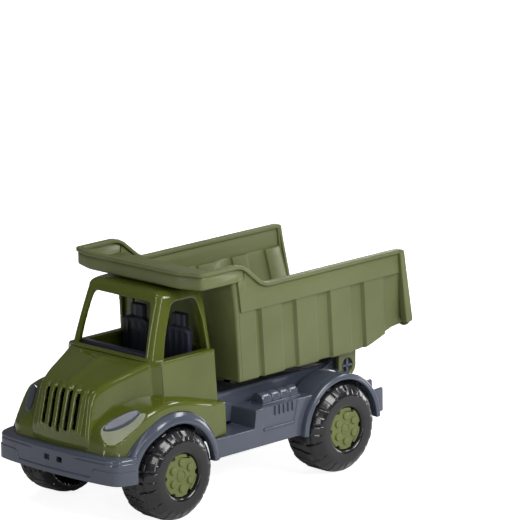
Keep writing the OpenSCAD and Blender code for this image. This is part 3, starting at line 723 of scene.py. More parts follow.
def wall_line(y, out, angle, rows):
    """Points of one wall line from the floor up, for arrays y, out and angle of equal
    length. rows are (zone, share): zone 0 rounds the foot by a quarter circle, zone 1
    climbs from the foot to the band, zone 2 stands on the band's step up to the rim."""
    zone, share = rows[:, 0][None, :], rows[:, 1][None, :]
    y, out, angle = (a[:, None] for a in (y, out, angle))
    foot = np.broadcast_to(floor_z, y.shape)
    for _ in range(4):
        foot = floor_height(y + LEAN * (band_z - foot))
    top = np.broadcast_to(rim_z, y.shape)
    for _ in range(6):
        top = 0.5 * top + 0.5 * rim_height(y + LEAN * (band_z - top))
    top = np.where(leaning(y, top) > slope_y + 0.5, top - 0.6, canopy_low + 1.0)
    turn = share * np.pi / 2
    z = np.where(zone == 0, foot + CORNER * (1 - np.cos(turn)), 0)
    z = np.where(zone == 1, foot + CORNER + share * (band_z - foot - CORNER), z)
    z = np.where(zone == 2, band_z + share * (top - band_z), z)
    inset = np.where(zone == 0, CORNER * (1 - np.sin(turn)), 0)
    stand = np.where(zone < 2, out, np.where((y >= 66.8) & (angle > 1.5), 1.2, -0.4))
    reach = half_width(z) + stand - inset
    x = reach - CORNER * (1 - np.sin(angle)) * (angle < 1.5)
    place = np.where(angle > 1.5, y, front_y + CORNER * (1 - np.cos(angle)))
    place = place + inset * (angle < 1.5) * np.cos(angle)
    return np.stack([x, leaning(place, z), np.broadcast_to(z, x.shape)], -1)


def tray(left, columns):
    """One shell from the lines of its left half, listed from the tail to the front
    corner: the lines, the straight front between the last one and its mirror image, the
    mirrored lines, and a floor whose rows join each line's foot to its mirror image."""
    other = left[::-1] * [-1, 1, 1]
    share = np.linspace(0, 1, columns + 1)[1:-1, None, None]
    front = left[-1] * (1 - share) + other[0] * share
    walls = flipped(grid(np.concatenate([left, front, other])))
    across = np.linspace(0, 1, columns + 1)[None, :, None]
    rows = left[:, :1] * (1 - across) + (left[:, :1] * [-1, 1, 1]) * across
    return [walls, grid(rows)]


wall_rows = np.array([[0, s] for s in np.linspace(0, 1, 6)]
                     + [[1, s] for s in (0.1, 0.3, 0.5, 0.7, 0.9, 0.995, 1.0)]
                     + [[2, s] for s in (0.0, 0.5, 1.0)])
side = wall_line(line_y, line_out, np.full(len(line_y), np.pi / 2), wall_rows)
turn = wall_line(np.full(6, front_y + CORNER), np.full(6, -0.4), corner_angle[1:], wall_rows)
tub = tray(np.concatenate([side, turn]), 12)

# %% [markdown]
# The tray over the cab is the same kind of shell: lines that stand on the edge of a flat
# floor. It starts inside the tub's sides and its two front corners are cut off.

# %% Canopy tray
canopy_plan = rounded([[rim_half - TRAY_IN, slope_y + 1.2, 0], [rim_half - TRAY_IN, canopy_y + 8.2, 3],
                       [rim_half - 19.6, canopy_y + TRAY_IN, 5], [0, canopy_y + TRAY_IN, 0]],
                      5, closed=False)[:-1]
plan_edge = np.gradient(canopy_plan, axis=0)
plan_edge /= np.linalg.norm(plan_edge, axis=1)[:, None]
plan_in = np.stack([plan_edge[:, 1], -plan_edge[:, 0]], 1)
tray_turn = np.linspace(0, np.pi / 2, 5)
tray_in = np.concatenate([2.0 * (1 - np.sin(tray_turn)), [0, 0]])
tray_up = np.concatenate([canopy_low + 2.0 * (1 - np.cos(tray_turn)),
                          [(canopy_low + canopy_z) / 2, canopy_z - 1.4]])
canopy_lines = np.concatenate([
    canopy_plan[:, None, :] + plan_in[:, None, :] * tray_in[None, :, None],
    np.broadcast_to(tray_up[None, :, None], (len(canopy_plan), len(tray_up), 1))], -1)
canopy = tray(canopy_lines, 12)

# %% [markdown]
# A rim runs round the whole mouth of the bed: along both sides, up the slopes, round the
# tray, down the tail's edges and under the tail. It is one section swept along one closed
# path. The section's broad face looks up on the sides and backwards on the tail, so each
# point of the path carries a hint of where that face looks.

# %% Rim
def sweep(path, section, hint, closed=True):
    """A closed section of rows (out, up) carried along a path. Along is the path's
    direction, up is the hint made square to it, and out is along x up."""
    ahead, behind = np.roll(path, -1, 0), np.roll(path, 1, 0)
    if not closed:
        ahead[-1], behind[0] = path[-1], path[0]
    direction = ahead - behind
    direction /= np.linalg.norm(direction, axis=1)[:, None]
    face = hint - (hint * direction).sum(1)[:, None] * direction
    face /= np.linalg.norm(face, axis=1)[:, None]
    out = np.cross(direction, face)
    section = np.broadcast_to(section, (len(path),) + section.shape[-2:])
    points = path[:, None] + out[:, None] * section[..., :1] + face[:, None] * section[..., 1:]
    verts, faces = grid(points, wrap_u=closed, wrap_v=True)
    if not closed:
        n, last = points.shape[1], (len(points) - 1) * points.shape[1]
        faces = faces + [np.arange(n)[None, ::-1], np.arange(last, last + n)[None, :]]
    return outwards((verts, faces))


wall_x = rim_half - RIM_OUT
tail_foot = tail_z + 0.5
tail_x = wall_x - 3.6
rim_left = np.array([
    [0, tail_low, tail_foot, 0, 1, 0, 2.6, 0],
    [tail_x - 6, tail_low, tail_foot, 0, 1, 0, 2.6, 0],
    [tail_x, tail_low, tail_foot, 0, 1, 0, 4.0, 4],
    [tail_x + 0.4, leaning(tail_y, tail_foot + 6), tail_foot + 6, 0, 1, 0, 5.8, 0],
    [wall_x - 0.2, leaning(tail_y, rim_z - 5), rim_z - 5, 0, 1, 0, 2.8, 0],
    [wall_x, tail_high, rim_z, 0, 1, 1, 2.4, 2.6],
    [wall_x, tail_high - 5, rim_z, 0, 0, 1, 2.4, 0],
    [wall_x, dip_y, rim_z, 0, 0, 1, 2.4, 7],
    [wall_x, slope_y, canopy_z, 0, 0, 1, 2.4, 7],
    [wall_x, canopy_y + 8.7, canopy_z, 0, 0, 1, 2.4, 2.5],
    [rim_half - 19.6, canopy_y + RIM_OUT, canopy_z, 0, 0, 1, 2.4, 4],
    [0, canopy_y + RIM_OUT, canopy_z, 0, 0, 1, 2.4, 0]])
rim_left = rounded(rim_left, 6, closed=False)
rim_right = rim_left[-2:0:-1] * [-1, 1, 1, 1, 1, 1, 1]
rim_path = np.concatenate([rim_left, rim_right])
rim_section = rounded([[-2.4, -RIM_T, 0.5], [RIM_OUT, -RIM_T, 0.5], [RIM_OUT, 0, 0.6], [1.7, 0, 0.15],
                       [1.4, -0.4, 0.15], [1.1, 0, 0.15], [-2.4, 0, 0.6]], 3)
widen = np.where(rim_section[:, :1] < -1, 1.0, 0.0)[None] * (2.4 - rim_path[:, 6])[:, None, None]
rim_section = rim_section[None] + np.concatenate([widen, 0 * widen], -1)
rim = sweep(rim_path[:, :3], rim_section, rim_path[:, 3:6])

# %% [markdown]
# Fine ribs run along the floor, as strips with a rounded top that follow the floor up
# its kick. Under the floor two ears carry the bed on the chassis's trunnions, and at the
# tail each side ends in a thick flange.

# %% Floor ribs and ears
rib_y = along(np.array([[front_y + 14, 0], [tail_low - 7, 0]]), 6.0)[:, 0]
rib_path = np.stack([0 * rib_y, rib_y, floor_height(rib_y) + WALL], 1)
rib_section = rounded([[-0.55, -0.4, 0], [0.55, -0.4, 0], [0.45, 0.42, 0.3], [-0.45, 0.42, 0.3]], 2)
upward = np.broadcast_to([0.0, 0.0, 1.0], rib_path.shape)
floor_rib = sweep(rib_path, rib_section, upward, closed=False)
floor_ribs = [moved(floor_rib, (x, 0, 0)) for x in np.linspace(-43, 43, 11)]
EAR_R, BORE_R = 9.0, 5.6


def ear_plate(low, high, count=64):
    """A plate with a bore: round below the pivot, square above it. Around the pivot the
    plate's edge lies at EAR_R below and at min(EAR_R / |cos|, height / sin) above."""
    a = np.linspace(0, 2 * np.pi, count, endpoint=False)
    c, s = np.cos(a), np.sin(a)
    edge = np.where(s > 0, np.minimum(EAR_R / np.maximum(np.abs(c), 1e-6),
                                      (floor_z + 1.0 - pivot_z) / np.maximum(s, 1e-6)), EAR_R)
    ringed = [(BORE_R, low + 0.3), (BORE_R + 0.3, low), (edge - 0.4, low), (edge, low + 0.4),
              (edge, high - 0.4), (edge - 0.4, high), (BORE_R + 0.3, high), (BORE_R, high - 0.3)]
    points = np.stack([np.stack([0 * a + x, pivot_y + r * c, pivot_z + r * s], -1) for r, x in ringed], 1)
    return outwards(grid(points, wrap_u=True, wrap_v=True))


ears = both(ear_plate(38.8, 42.5))
low_y, high_y = leaning(tail_y, tail_z + 1), leaning(tail_y, rim_z)
flange_side = rounded([[low_y - 6.5, tail_z + 1, 1.5], [low_y + 0.6, tail_z + 1, 2.5],
                       [high_y + 0.9, rim_z - 0.4, 2], [high_y - 4.0, rim_z - 0.4, 1]], 4)
flanges = both(prism(flange_side, wall_x - 3.0, rim_half, "x", 0.9))

# %% Bed pieces
# The bed takes the olive painted paler, with a painted sheen in it.
make_piece("bed_tub", tub + canopy, olive_satin, "bed", "olive_satin", ["dump_bed"], wall=WALL, bevel=0.3)
make_piece("bed_rim", [rim] + flanges, olive_satin, "bed", "olive_satin")
make_piece("bed_floor_ribs", floor_ribs, olive_satin, "bed", "olive_satin")
make_piece("bed_ears", ears, olive_satin, "bed", "olive_satin")

# %% [markdown]
# ## Cab
# The cab is one glossy moulding, but it reads as four shapes that meet in creases: the
# body with its hood, the window frame above the sills, and a fender on each side. Each is
# a pillow: an outline seen from the side, a top that runs across, a rounded shoulder, and
# a side that closes towards a centre. Cutting holes with booleans would leave ragged
# triangles, so windows and slots are cut on the grid itself: points near a hole's
# outline move onto it, and the faces inside are dropped.

# %% Hole cutting
def nearest(p, outline):
    """Signed distance of points p to a closed outline (negative inside) and the nearest
    place on it. Distance: project on every edge. Sign: count the crossings of a ray."""
    a, b = outline[None], np.roll(outline, -1, 0)[None]
    q = p[:, None]
    t = np.clip(((q - a) * (b - a)).sum(-1) / np.maximum(((b - a) ** 2).sum(-1), 1e-12), 0, 1)
    foot = a + t[..., None] * (b - a)
    d = np.linalg.norm(q - foot, axis=-1)
    best = d.argmin(1)
    up = (a[..., 1] > q[..., 1]) != (b[..., 1] > q[..., 1])
    rise = np.where(np.abs(b[..., 1] - a[..., 1]) < 1e-9, 1e-9, b[..., 1] - a[..., 1])
    cross = a[..., 0] + (q[..., 1] - a[..., 1]) * (b[..., 0] - a[..., 0]) / rise
    inside = (up & (q[..., 0] < cross)).sum(1) % 2 == 1
    rows = np.arange(len(p))
    return np.where(inside, -1, 1) * d[rows, best], foot[rows, best]


def cut(shape, axes, outline, where, slide=None, reach=0.4):
    """Cuts a hole. Points where `where` holds and that lie within reach of the outline,
    seen along the third axis, move onto it, and so do inner points that a kept face
    needs. slide(before, after) restores the third coordinate of what moved."""
    points, faces = shape[0].copy(), shape[1]
    picked = np.flatnonzero(where(points))
    flat = points[picked][:, axes]
    close = ((flat > outline.min(0) - 3) & (flat < outline.max(0) + 3)).all(1)
    picked, flat = picked[close], flat[close]
    distance = np.full(len(points), 9.0)
    target = np.zeros((len(points), 2))
    distance[picked], target[picked] = nearest(flat, outline)
    before = points.copy()
    snap = np.abs(distance) < reach
    kept = []
    for f in faces:
        d = np.where(snap, 0, distance)[f]
        keep = ~((d.mean(1) < 0) | (d.max(1) <= 0) & (np.abs(distance[f]).max(1) < 8))
        kept.append(f[keep])
    used = np.zeros(len(points), bool)
    for f in kept:
        used[f.ravel()] = True
    snap |= used & (distance < 0)
    for k, axis in enumerate(axes):
        points[snap, axis] = target[snap, k]
    if slide is not None:
        points[snap] = slide(before[snap], points[snap])
    number = np.cumsum(used) - 1
    return points[used], [number[f] for f in kept]


# %% [markdown]
# The body's side outline runs from the rear wall over the sill, down the hood and the
# grille to the bumper. Its half width is a function of the place along the truck: doors
# that are straight, then a quick flare in to the hood, which narrows to the grille.

# %% Body and hood
SILL_Z, CAB_BACK, ROOF_Z = 109.5, 55.5, cab_high[2]
CAB_FRONT = 52.0
DECK_Z = 53.0
body_outline = along(rounded([
    [CAB_BACK, DECK_Z, 0], [CAB_BACK, SILL_Z, 1.2], [2.5, SILL_Z, 2], [-1.8, SILL_Z - 0.2, 1],
    [-4, SILL_Z - 1.2, 3], [-34, SILL_Z - 11.0, 12], [-44.6, SILL_Z - 17.4, 5], [-CAB_FRONT, 62.0, 8],
    [-CAB_FRONT + 1.6, DECK_Z, 0]], 6, closed=False), 0.92)
BODY_CENTRE = np.array([6.0, 76.0])


def body_width(y, z):
    """Half width of doors and hood: a curve along the truck plus a flare below the sill."""
    top = np.interp(y, [-53, -44.7, -30, -15, -2, 1.2, 3.2, 60],
                    [23.8, 24.2, 29.6, 34.9, 40.0, 44.0, 46.6, 46.6])
    return top + (SILL_Z - z) * np.interp(y, [-50, 0, 5], [0.10, 0.09, 0.066])


def pillow(outline, centre, width, inner, radius, crown, top_rows, side_rows=18, shoulder=7):
    """Left half of a shell. For each point of the side outline: rows across the top from
    x = inner to the shoulder, a quarter circle of that radius, and rows that shrink
    towards the centre at the half width of their place. crown lifts the top."""
    to_centre = centre - outline
    reach = np.linalg.norm(to_centre, axis=1)[:, None]
    inward = to_centre / reach
    slope = np.gradient(outline, axis=0)
    slope /= np.linalg.norm(slope, axis=1)[:, None]
    normal = np.stack([slope[:, 1], -slope[:, 0]], 1)
    normal *= -np.sign((normal * inward).sum(1))[:, None]
    radius = np.broadcast_to(radius, len(outline))[:, None]
    turn = np.linspace(0, np.pi / 2, shoulder)[None, :]
    side = np.linspace(0, 1, side_rows + 1)[None, 1:]
    slant = np.maximum(-(normal * inward).sum(1), 0.5)[:, None]
    shoulder_depth = radius / slant
    depth = np.concatenate([shoulder_depth * (1 - np.cos(turn[:, 1:])),
                            shoulder_depth + side * (0.93 * reach - shoulder_depth)], 1)
    place = outline[:, None] + inward[:, None] * depth[..., None]
    out = width(place[..., 0], place[..., 1])
    sine = np.concatenate([np.sin(turn[:, 1:]), np.ones((1, side_rows))], 1)
    x_low = out - radius * (1 - sine)
    edge = width(outline[:, 0], outline[:, 1])[:, None] - radius
    inner = np.broadcast_to(inner, len(outline))[:, None]
    x_top = inner + (edge - inner) * np.linspace(0, 1, top_rows)[None]
    lift = crown(x_top, outline[:, None, 0], outline[:, None, 1], edge)
    top = outline[:, None] + normal[:, None] * lift[..., None]
    return np.concatenate([np.concatenate([x_top[..., None], top], -1),
                           np.concatenate([x_low[..., None], place], -1)], 1)


GRILLE_TOP, GRILLE_LOW = SILL_Z - 16.5, SILL_Z - 46.8
SLOT_HALF, SLOT_PITCH, SLOTS = 1.7, 7.6, 5


def hood_crown(x, y, z, edge):
    """A low arch across the hood, a ridge down its middle, rounded bars between the
    grille's slots, and two short relief marks above them."""
    hood = smooth_step(-y, 3, 12)
    arch = 1.3 * (1 - (x / np.maximum(edge, 1)) ** 2)
    ridge = 0.7 * np.clip(1 - np.abs(x) / 7, 0, 1) * smooth_step(z, 88, 94)
    wave = 0.5 - 0.5 * np.cos(2 * np.pi * x / SLOT_PITCH)
    on_grille = within(z, GRILLE_LOW - 1, GRILLE_LOW + 3, GRILLE_TOP - 1, GRILLE_TOP + 2)
    on_grille = on_grille * (1 - smooth_step(np.abs(x), 2.6 * SLOT_PITCH, 2.9 * SLOT_PITCH))
    bars = 1.1 * wave ** 0.6 * on_grille
    marks = 0.6 * np.exp(-((y + 40.6) / 0.75) ** 2) * within(np.abs(x), 2.8, 3.6, 11.6, 12.6)
    return hood * (arch + ridge + bars + marks)


body_y, body_z = body_outline.T
on_sill = (body_z > SILL_Z - 0.3) & (body_y > 2.0) & (body_y < CAB_BACK - 2.0)
body = grid(pillow(body_outline, BODY_CENTRE, body_width, np.where(on_sill, 40.5, 0.0),
                   np.where(body_y > 2.5, 1.3, 2.8), hood_crown, 46))


def slide_grille(old, new):
    """Keeps a moved point on the slope of the body's outline."""
    y_old, y_new = (np.interp(p[:, 2], body_z[::-1], body_y[::-1]) for p in (old, new))
    return np.column_stack([new[:, 0], new[:, 1] + y_new - y_old, new[:, 2]])


for k in range((SLOTS + 1) // 2):
    x = k * SLOT_PITCH
    low, high = GRILLE_LOW + 0.25 * x, GRILLE_TOP - 0.12 * x
    slot = rounded([[x - SLOT_HALF, low, 1.7], [x + SLOT_HALF, low, 1.7],
                    [x + SLOT_HALF, high, 1.7], [x - SLOT_HALF, high, 1.7]], 6)
    if k == 0:
        slot = np.maximum(slot, [-0.001, 0])
    body = cut(body, [0, 2], slot, lambda p: (p[:, 1] < -40) & (p[:, 0] < 24), slide_grille, 0.3)

# %% [markdown]
# The window frame is a loop that changes as it climbs: it narrows, its front leans back,
# and past the eaves it closes over the roof. Its front corners have a large radius, so a
# highlight runs down each corner post.

# %% Window frame
LOOP_POINTS = 137


def frame_loop(z):
    """Plan of the frame at one height, anticlockwise from the middle of the rear wall."""
    rise = (z - SILL_Z) / (ROOF_Z - SILL_Z)
    shrink = 1 - 0.1 * rise
    front = -2.2 + 12.8 * rise + 3.2 * rise ** 2
    back = CAB_BACK - 0.6 - 3.4 * rise - 1.2 * rise ** 2
    half = rounded([[0, back, 0], [43.8 * shrink, back, 3.0], [43.8 * shrink, back - 8, 0],
                    [42.8 * shrink, front + 11, 3], [39.4 * shrink, front + 0.9, 9.0], [0, front, 0]],
                   8, closed=False)
    return along(half, count=LOOP_POINTS)


EAVES, ROOF_CROWN = 7.0, 1.2     # radius of the eaves, and how far the roof rises to its middle
rise_z = np.linspace(SILL_Z - 3, ROOF_Z - EAVES, 56)
eave_turn = np.linspace(0, np.pi / 2, 9)[1:]
rows = [np.insert(frame_loop(z), 2, z, axis=1) for z in rise_z]
eaves = rows[-1]
roof_centre = np.array([0, eaves[:, 1].mean()])
away = eaves[:, :2] - roof_centre * [0, 1]
length = np.linalg.norm(away, axis=1)[:, None]
for a in eave_turn:
    smaller = eaves[:, :2] - away / length * EAVES * (1 - np.cos(a)) + [0, 0.5 * (1 - np.cos(a))]
    smaller[[0, -1], 0] = 0
    rows.append(np.insert(smaller, 2, ROOF_Z - EAVES + (EAVES - ROOF_CROWN) * np.sin(a), axis=1))
last = rows[-1][:, :2]
for share in np.linspace(0, 1, 12)[1:]:
    smaller = last + (roof_centre - last) * share
    rows.append(np.insert(smaller, 2, ROOF_Z - ROOF_CROWN * (1 - share) ** 2, axis=1))
window_frame = grid(np.array(rows))


def slide_side(old, new):
    """Keeps a moved point on the leaning side: the side narrows by a tenth as it rises."""
    rise_old, rise_new = ((p[:, 2] - SILL_Z) / (ROOF_Z - SILL_Z) for p in (old, new))
    return np.column_stack([old[:, 0] * (1 - 0.1 * rise_new) / (1 - 0.1 * rise_old), new[:, 1:]])


def slide_front(old, new):
    """Keeps a moved point on the windscreen's curve, the one in frame_loop."""
    rise_old, rise_new = ((p[:, 2] - SILL_Z) / (ROOF_Z - SILL_Z) for p in (old, new))
    step = 12.8 * (rise_new - rise_old) + 3.2 * (rise_new ** 2 - rise_old ** 2)
    return np.column_stack([new[:, 0], old[:, 1] + step, new[:, 2]])


side_window = rounded([[9.0, SILL_Z + 0.1, 1], [CAB_BACK - 4.6, SILL_Z + 0.1, 1], [CAB_BACK - 7.4, 132, 4],
                       [CAB_BACK - 12.6, ROOF_Z - 8.5, 5], [21.0, ROOF_Z - 8.5, 4.5], [13.0, 127, 10]], 7)
windscreen = rounded([[-0.01, SILL_Z + 1.2, 0], [34.8, SILL_Z + 1.2, 2.0], [32.4, 132, 8],
                      [28.8, ROOF_Z - 8.3, 3.5], [-0.01, ROOF_Z - 8.3, 0]], 7)
rear_window = rounded([[-0.01, SILL_Z, 0], [34, SILL_Z, 3], [29, ROOF_Z - 9, 3], [-0.01, ROOF_Z - 9, 0]], 6)
window_frame = cut(window_frame, [1, 2], side_window, lambda p: p[:, 0] > 30, slide_side, 0.5)
window_frame = cut(window_frame, [0, 2], windscreen, lambda p: p[:, 1] < 22, slide_front, 0.5)
window_frame = cut(window_frame, [0, 2], rear_window, lambda p: p[:, 1] > 44, None, 0.5)

# %% [markdown]
# A fender is a pillow about the front axle: its outline is a radius that changes with the
# angle, and its side closes on the wheel arch instead of on a point. The headlight sits
# on a facet: everything that would stand beyond a plane is pressed onto that plane.

# %% Fenders
ARCH_R = 44.2
FENDER_BACK = CAB_BACK + 1.8
fender_side = along(rounded([
    [FENDER_BACK, 49.4, 0], [FENDER_BACK - 0.8, 73.8, 3.0], [24, 82.6, 12], [-4, 88.0, 16], [-32, 81.0, 14],
    [-CAB_FRONT + 3.5, 67.5, 8], [-CAB_FRONT + 1.2, DECK_Z, 0]], 8, closed=False), 1.1)
fender_plan = rounded([[26, -CAB_FRONT - 1.2, 0], [38, -CAB_FRONT - 1.0, 9], [51, -CAB_FRONT + 4.5, 10],
                       [61, -26, 14], [61, 14, 16], [55.4, FENDER_BACK + 0.5, 0]], 10, closed=False)
FENDER_R = 4.0


def fender_width(y):
    """Half width of the fender's face along the truck."""
    return np.interp(y, fender_plan[:, 1], fender_plan[:, 0])


def fender(top_rows=34, side_rows=10):
    """Grid of angle about the axle by rows: across the top from the hood outwards, round
    the shoulder, down the face to the arch, and in along the arch for its thickness."""
    rel = fender_side - [0, AXLE_Z]
    radius = np.linalg.norm(rel, axis=1)[:, None]
    ray = rel / radius
    floor = np.where(ray[:, :1] > 0, 49.4, DECK_Z) - AXLE_Z
    arch = np.minimum(np.maximum(ARCH_R, floor / np.maximum(ray[:, 1:], 0.05)), radius - 0.3)
    crisp = FENDER_R - 2.8 * smooth_step(fender_side[:, :1], 44, 54)
    soft = np.minimum(crisp, (radius - arch) * 0.5)
    slope = np.gradient(fender_side, axis=0)
    slope /= np.linalg.norm(slope, axis=1)[:, None]
    normal = np.stack([slope[:, 1], -slope[:, 0]], 1)
    normal *= np.sign((normal * ray).sum(1))[:, None]
    turn = np.linspace(0, np.pi / 2, 8)[None, 1:]
    x_edge = fender_width(fender_side[:, :1]) - soft
    share = np.linspace(0, 1, top_rows)[None]
    x_top = 25.0 + (np.maximum(x_edge, 26) - 25.0) * share
    tilt = 2.2 * np.clip(normal[:, 1:], 0, 1) ** 2
    drop = tilt * share ** 2
    top = fender_side[:, None] - normal[:, None] * drop[..., None]
    down = soft * (1 - np.cos(turn)) + tilt
    face = np.linspace(0, 1, side_rows + 1)[None, 1:]
    slant = np.maximum((normal * ray).sum(1), 0.6)[:, None, None]
    place_turn = fender_side[:, None] - ray[:, None] * down[..., None] / slant
    end = np.concatenate([0 * arch, np.full_like(arch, AXLE_Z)], 1) + ray * arch
    start = place_turn[:, -1]
    place_face = start[:, None] + (end - start)[:, None] * face[..., None]
    x_turn = fender_width(place_turn[..., 0]) - soft * (1 - np.sin(turn))
    x_face = fender_width(place_face[..., 0])
    x_face = x_face + (x_turn[:, -1:] - x_face[:, :1]) * (1 - face)
    return np.concatenate([np.concatenate([x_top[..., None], top], -1),
                           np.concatenate([x_turn[..., None], place_turn], -1),
                           np.concatenate([x_face[..., None], place_face], -1)], 1)


LAMP_TIP = np.array([37.5, -CAB_FRONT + 6.7, 69.4])
lamp_along = np.array([16.5, 20.3, 12.6]) / np.linalg.norm([16.5, 20.3, 12.6])
lamp_across = np.cross([0.40, -0.60, 0.66], lamp_along)
lamp_across /= np.linalg.norm(lamp_across)
lamp_out = np.cross(lamp_along, lamp_across)
fender_grid = fender()
level = (fender_grid - LAMP_TIP) @ lamp_out
print(f"the fender stood {level.max():.1f} mm beyond the lamp's facet")
fender_grid = fender_grid - np.maximum(level + 0.6, 0)[..., None] * lamp_out
fender_left = grid(fender_grid)

# %% Small parts of the cab's shell
cowl_x = np.linspace(-39.4, 39.4, 40)
cowl_path = np.stack([cowl_x, -2.2 + 1.6 * (np.abs(cowl_x) / 39.4) ** 6, np.full(40, SILL_Z + 0.6)], 1)
lip = rounded([[-1.5, -1.0, 0.3], [1.2, -1.0, 0.3], [1.2, 0.5, 0.5], [-0.2, 0.5, 0.3],
               [-0.5, 1.2, 0.4], [-1.5, 1.2, 0.3]], 3)
upright = np.broadcast_to([0.0, 0.0, 1.0], cowl_path.shape)
cowl_lip = sweep(cowl_path, lip, upright, closed=False)
seam_z = np.linspace(86, SILL_Z - 1.5, 14)
seam_path = np.stack([body_width(3.4, seam_z) - 0.05, np.full(14, 3.4), seam_z], 1)
seam_angle = np.linspace(0, 2 * np.pi, 11)[:-1]
thread = 0.5 * np.stack([np.cos(seam_angle), np.sin(seam_angle)], 1)
seam = sweep(seam_path, thread, np.broadcast_to([1.0, 0, 0], seam_path.shape), closed=False)

# %% Cab pieces
make_piece("cab_body", both(body), olive_gloss, "truck", "olive_gloss", ["cab_shell"], wall=WALL, bevel=0.25)
make_piece("cab_window_frame", both(window_frame), olive_gloss, "truck", "olive_gloss", wall=WALL, bevel=0.25)
make_piece("cab_fenders", both(fender_left), olive_gloss, "truck", "olive_gloss", wall=WALL, bevel=0.25)
make_piece("cab_trim", [cowl_lip] + both(seam), olive_gloss, "truck", "olive_gloss")

# %% [markdown]
# ## Chassis
# The chassis is one blue-grey moulding that hides every joint with the cab: a bowed
# bumper, arches over the wheels, a step, a box with louvres, and a hollow spine that
# carries the axles and, at its rear end, the bed's trunnions. Its open faces are sheets
# with a wall, and its bars, rings and stubs are closed shapes.

# %% Chassis sizes
CHASSIS_HALF = chassis_high[0]
CHASSIS_Z, BUMPER_Z, STEP_Z, BOX_Z, SPINE_Z = 35.0, 53.0, 48.8, 62.0, 73.0
SPINE_HALF, SIDE_HALF = 36.6, CHASSIS_HALF - 5
BUMPER_Y = chassis_low[1]
HOUSE_R = TYRE_R + 2.6
HINGE_Z, DECK_Y = pivot_z + 7.5, pivot_y + 10
BUMPER_BACK = chassis_high[1]


def flat_side(half):
    """A pillow's width function for a flat side at x = half."""
    return lambda y, z: np.full(np.shape(y), float(half))


def no_crown(x, y, z, edge):
    """A pillow's crown function for a flat top."""
    return 0 * x


# %% [markdown]
# The front bumper is a bowed sheet: its plan carried up from the lower edge, over a round
# top edge and a short way in towards the cab. The raised lip at its foot and the fine
# crease near its top are distances added square to the plan.

# %% Front bumper
bumper_plan = along(rounded([
    [0, BUMPER_Y, 0], [16, BUMPER_Y + 0.25, 8], [32, BUMPER_Y + 1.1, 8], [48, BUMPER_Y + 2.6, 8],
    [59.5, BUMPER_Y + 5.0, 8], [CHASSIS_HALF - 3.2, BUMPER_Y + 16, 7],
    [CHASSIS_HALF - 2.8, -37.4, 0]], 8, closed=False), 0.95)
plan_edge = np.gradient(bumper_plan, axis=0)
plan_edge /= np.linalg.norm(plan_edge, axis=1)[:, None]
plan_out = np.stack([plan_edge[:, 1], -plan_edge[:, 0]], 1)
TOP_R = 2.6
climb = np.arange(CHASSIS_Z - 0.7, BUMPER_Z - TOP_R, 0.5)
bend = np.linspace(0, np.pi / 2, 8)
bumper_z = np.concatenate([climb, BUMPER_Z - TOP_R + TOP_R * np.sin(bend), np.full(4, BUMPER_Z)])
bumper_in = np.concatenate([0 * climb, TOP_R * (1 - np.cos(bend)), np.full(4, TOP_R)])
shelf = np.concatenate([np.zeros(len(climb) + 8), [2.0, 4.0, 6.0, 8.0]])
x_along = bumper_plan[:, :1]
lip_top = 38.0 + 6.2 * smooth_step(x_along, 35.5, 40.0)
raised = 0.75 * (1 - smooth_step(bumper_z[None], lip_top - 0.4, lip_top + 0.2))
crease = 0.45 * np.exp(-((bumper_z[None] - 49.2) / 0.45) ** 2) * smooth_step(x_along, 20, 24)
stand = raised - crease - bumper_in[None]
to_middle = np.array([0.0, -30.0]) - bumper_plan
to_middle /= np.linalg.norm(to_middle, axis=1)[:, None]
bumper_xy = bumper_plan[:, None] + plan_out[:, None] * stand[..., None]
bumper_xy = bumper_xy + to_middle[:, None] * shelf[None, :, None]
bumper_xy[0, :, 0] = 0
bumper_height = np.broadcast_to(bumper_z[None, :, None], stand.shape + (1,))
front_bumper = grid(np.concatenate([bumper_xy, bumper_height], -1))
hole = rounded([[3.5, 43, 0.5], [9, 43, 0.5], [9, 47, 0.5], [3.5, 47, 0.5]], 3)
front_bumper = cut(front_bumper, [0, 2], hole, lambda p: p[:, 1] < -50, None, 0.32)

# %% [markdown]
# The arches are turned sections. The front one is a bold round moulding with a band
# behind it that fills the space up to the fender. The rear one is a wide barrel that
# ends in a double lip.

# %% Wheel arches
flare = rounded([[HOUSE_R, 60.2, 0.3], [HOUSE_R, 64.8, 1.0], [HOUSE_R + 1.6, CHASSIS_HALF - 0.1, 1.4],
                 [HOUSE_R + 5.0, CHASSIS_HALF - 0.9, 2.4], [HOUSE_R + 8.3, CHASSIS_HALF - 4.2, 2.0],
                 [HOUSE_R + 8.4, 60.2, 0.3]], 4)
front_flare = ring(flare, 0.0, AXLE_Z, 120, 4.0, 168)
front_flare[0][:, 0] -= 3.9 * smooth_step(-front_flare[0][:, 1], 14, 34)
band = rounded([[ARCH_R - 2.4, 46.0, 0.3], [ARCH_R - 2.4, 60.6, 0.3],
                [ARCH_R - 0.2, 60.6, 0.3], [ARCH_R - 0.2, 46.0, 0.3]], 2)
front_band = ring(band, 0.0, AXLE_Z, 120, 24, 134)
foot = box(60.4, CHASSIS_HALF - 0.2, 35.2, 38.6, CHASSIS_Z + 0.6, 40.6, 1.0, 0.9)
barrel = rounded([[HOUSE_R + 0.9, 42.6, 0.2], [HOUSE_R + 4.6, 42.6, 1.6], [HOUSE_R + 4.0, 60.2, 0.8],
                  [HOUSE_R + 3.8, 61.6, 0.5], [HOUSE_R + 3.9, 65.0, 0.9], [HOUSE_R + 2.6, CHASSIS_HALF, 0.9],
                  [HOUSE_R + 1.9, CHASSIS_HALF - 0.5, 0.3], [HOUSE_R + 1.2, CHASSIS_HALF, 0.5],
                  [HOUSE_R - 0.3, CHASSIS_HALF - 0.3, 0.5], [HOUSE_R - 0.3, 61.5, 0.4],
                  [HOUSE_R + 0.9, 60.8, 0.3]], 3)
rear_arch = ring(barrel, WHEELBASE, AXLE_Z, 120, 1.5, 177)
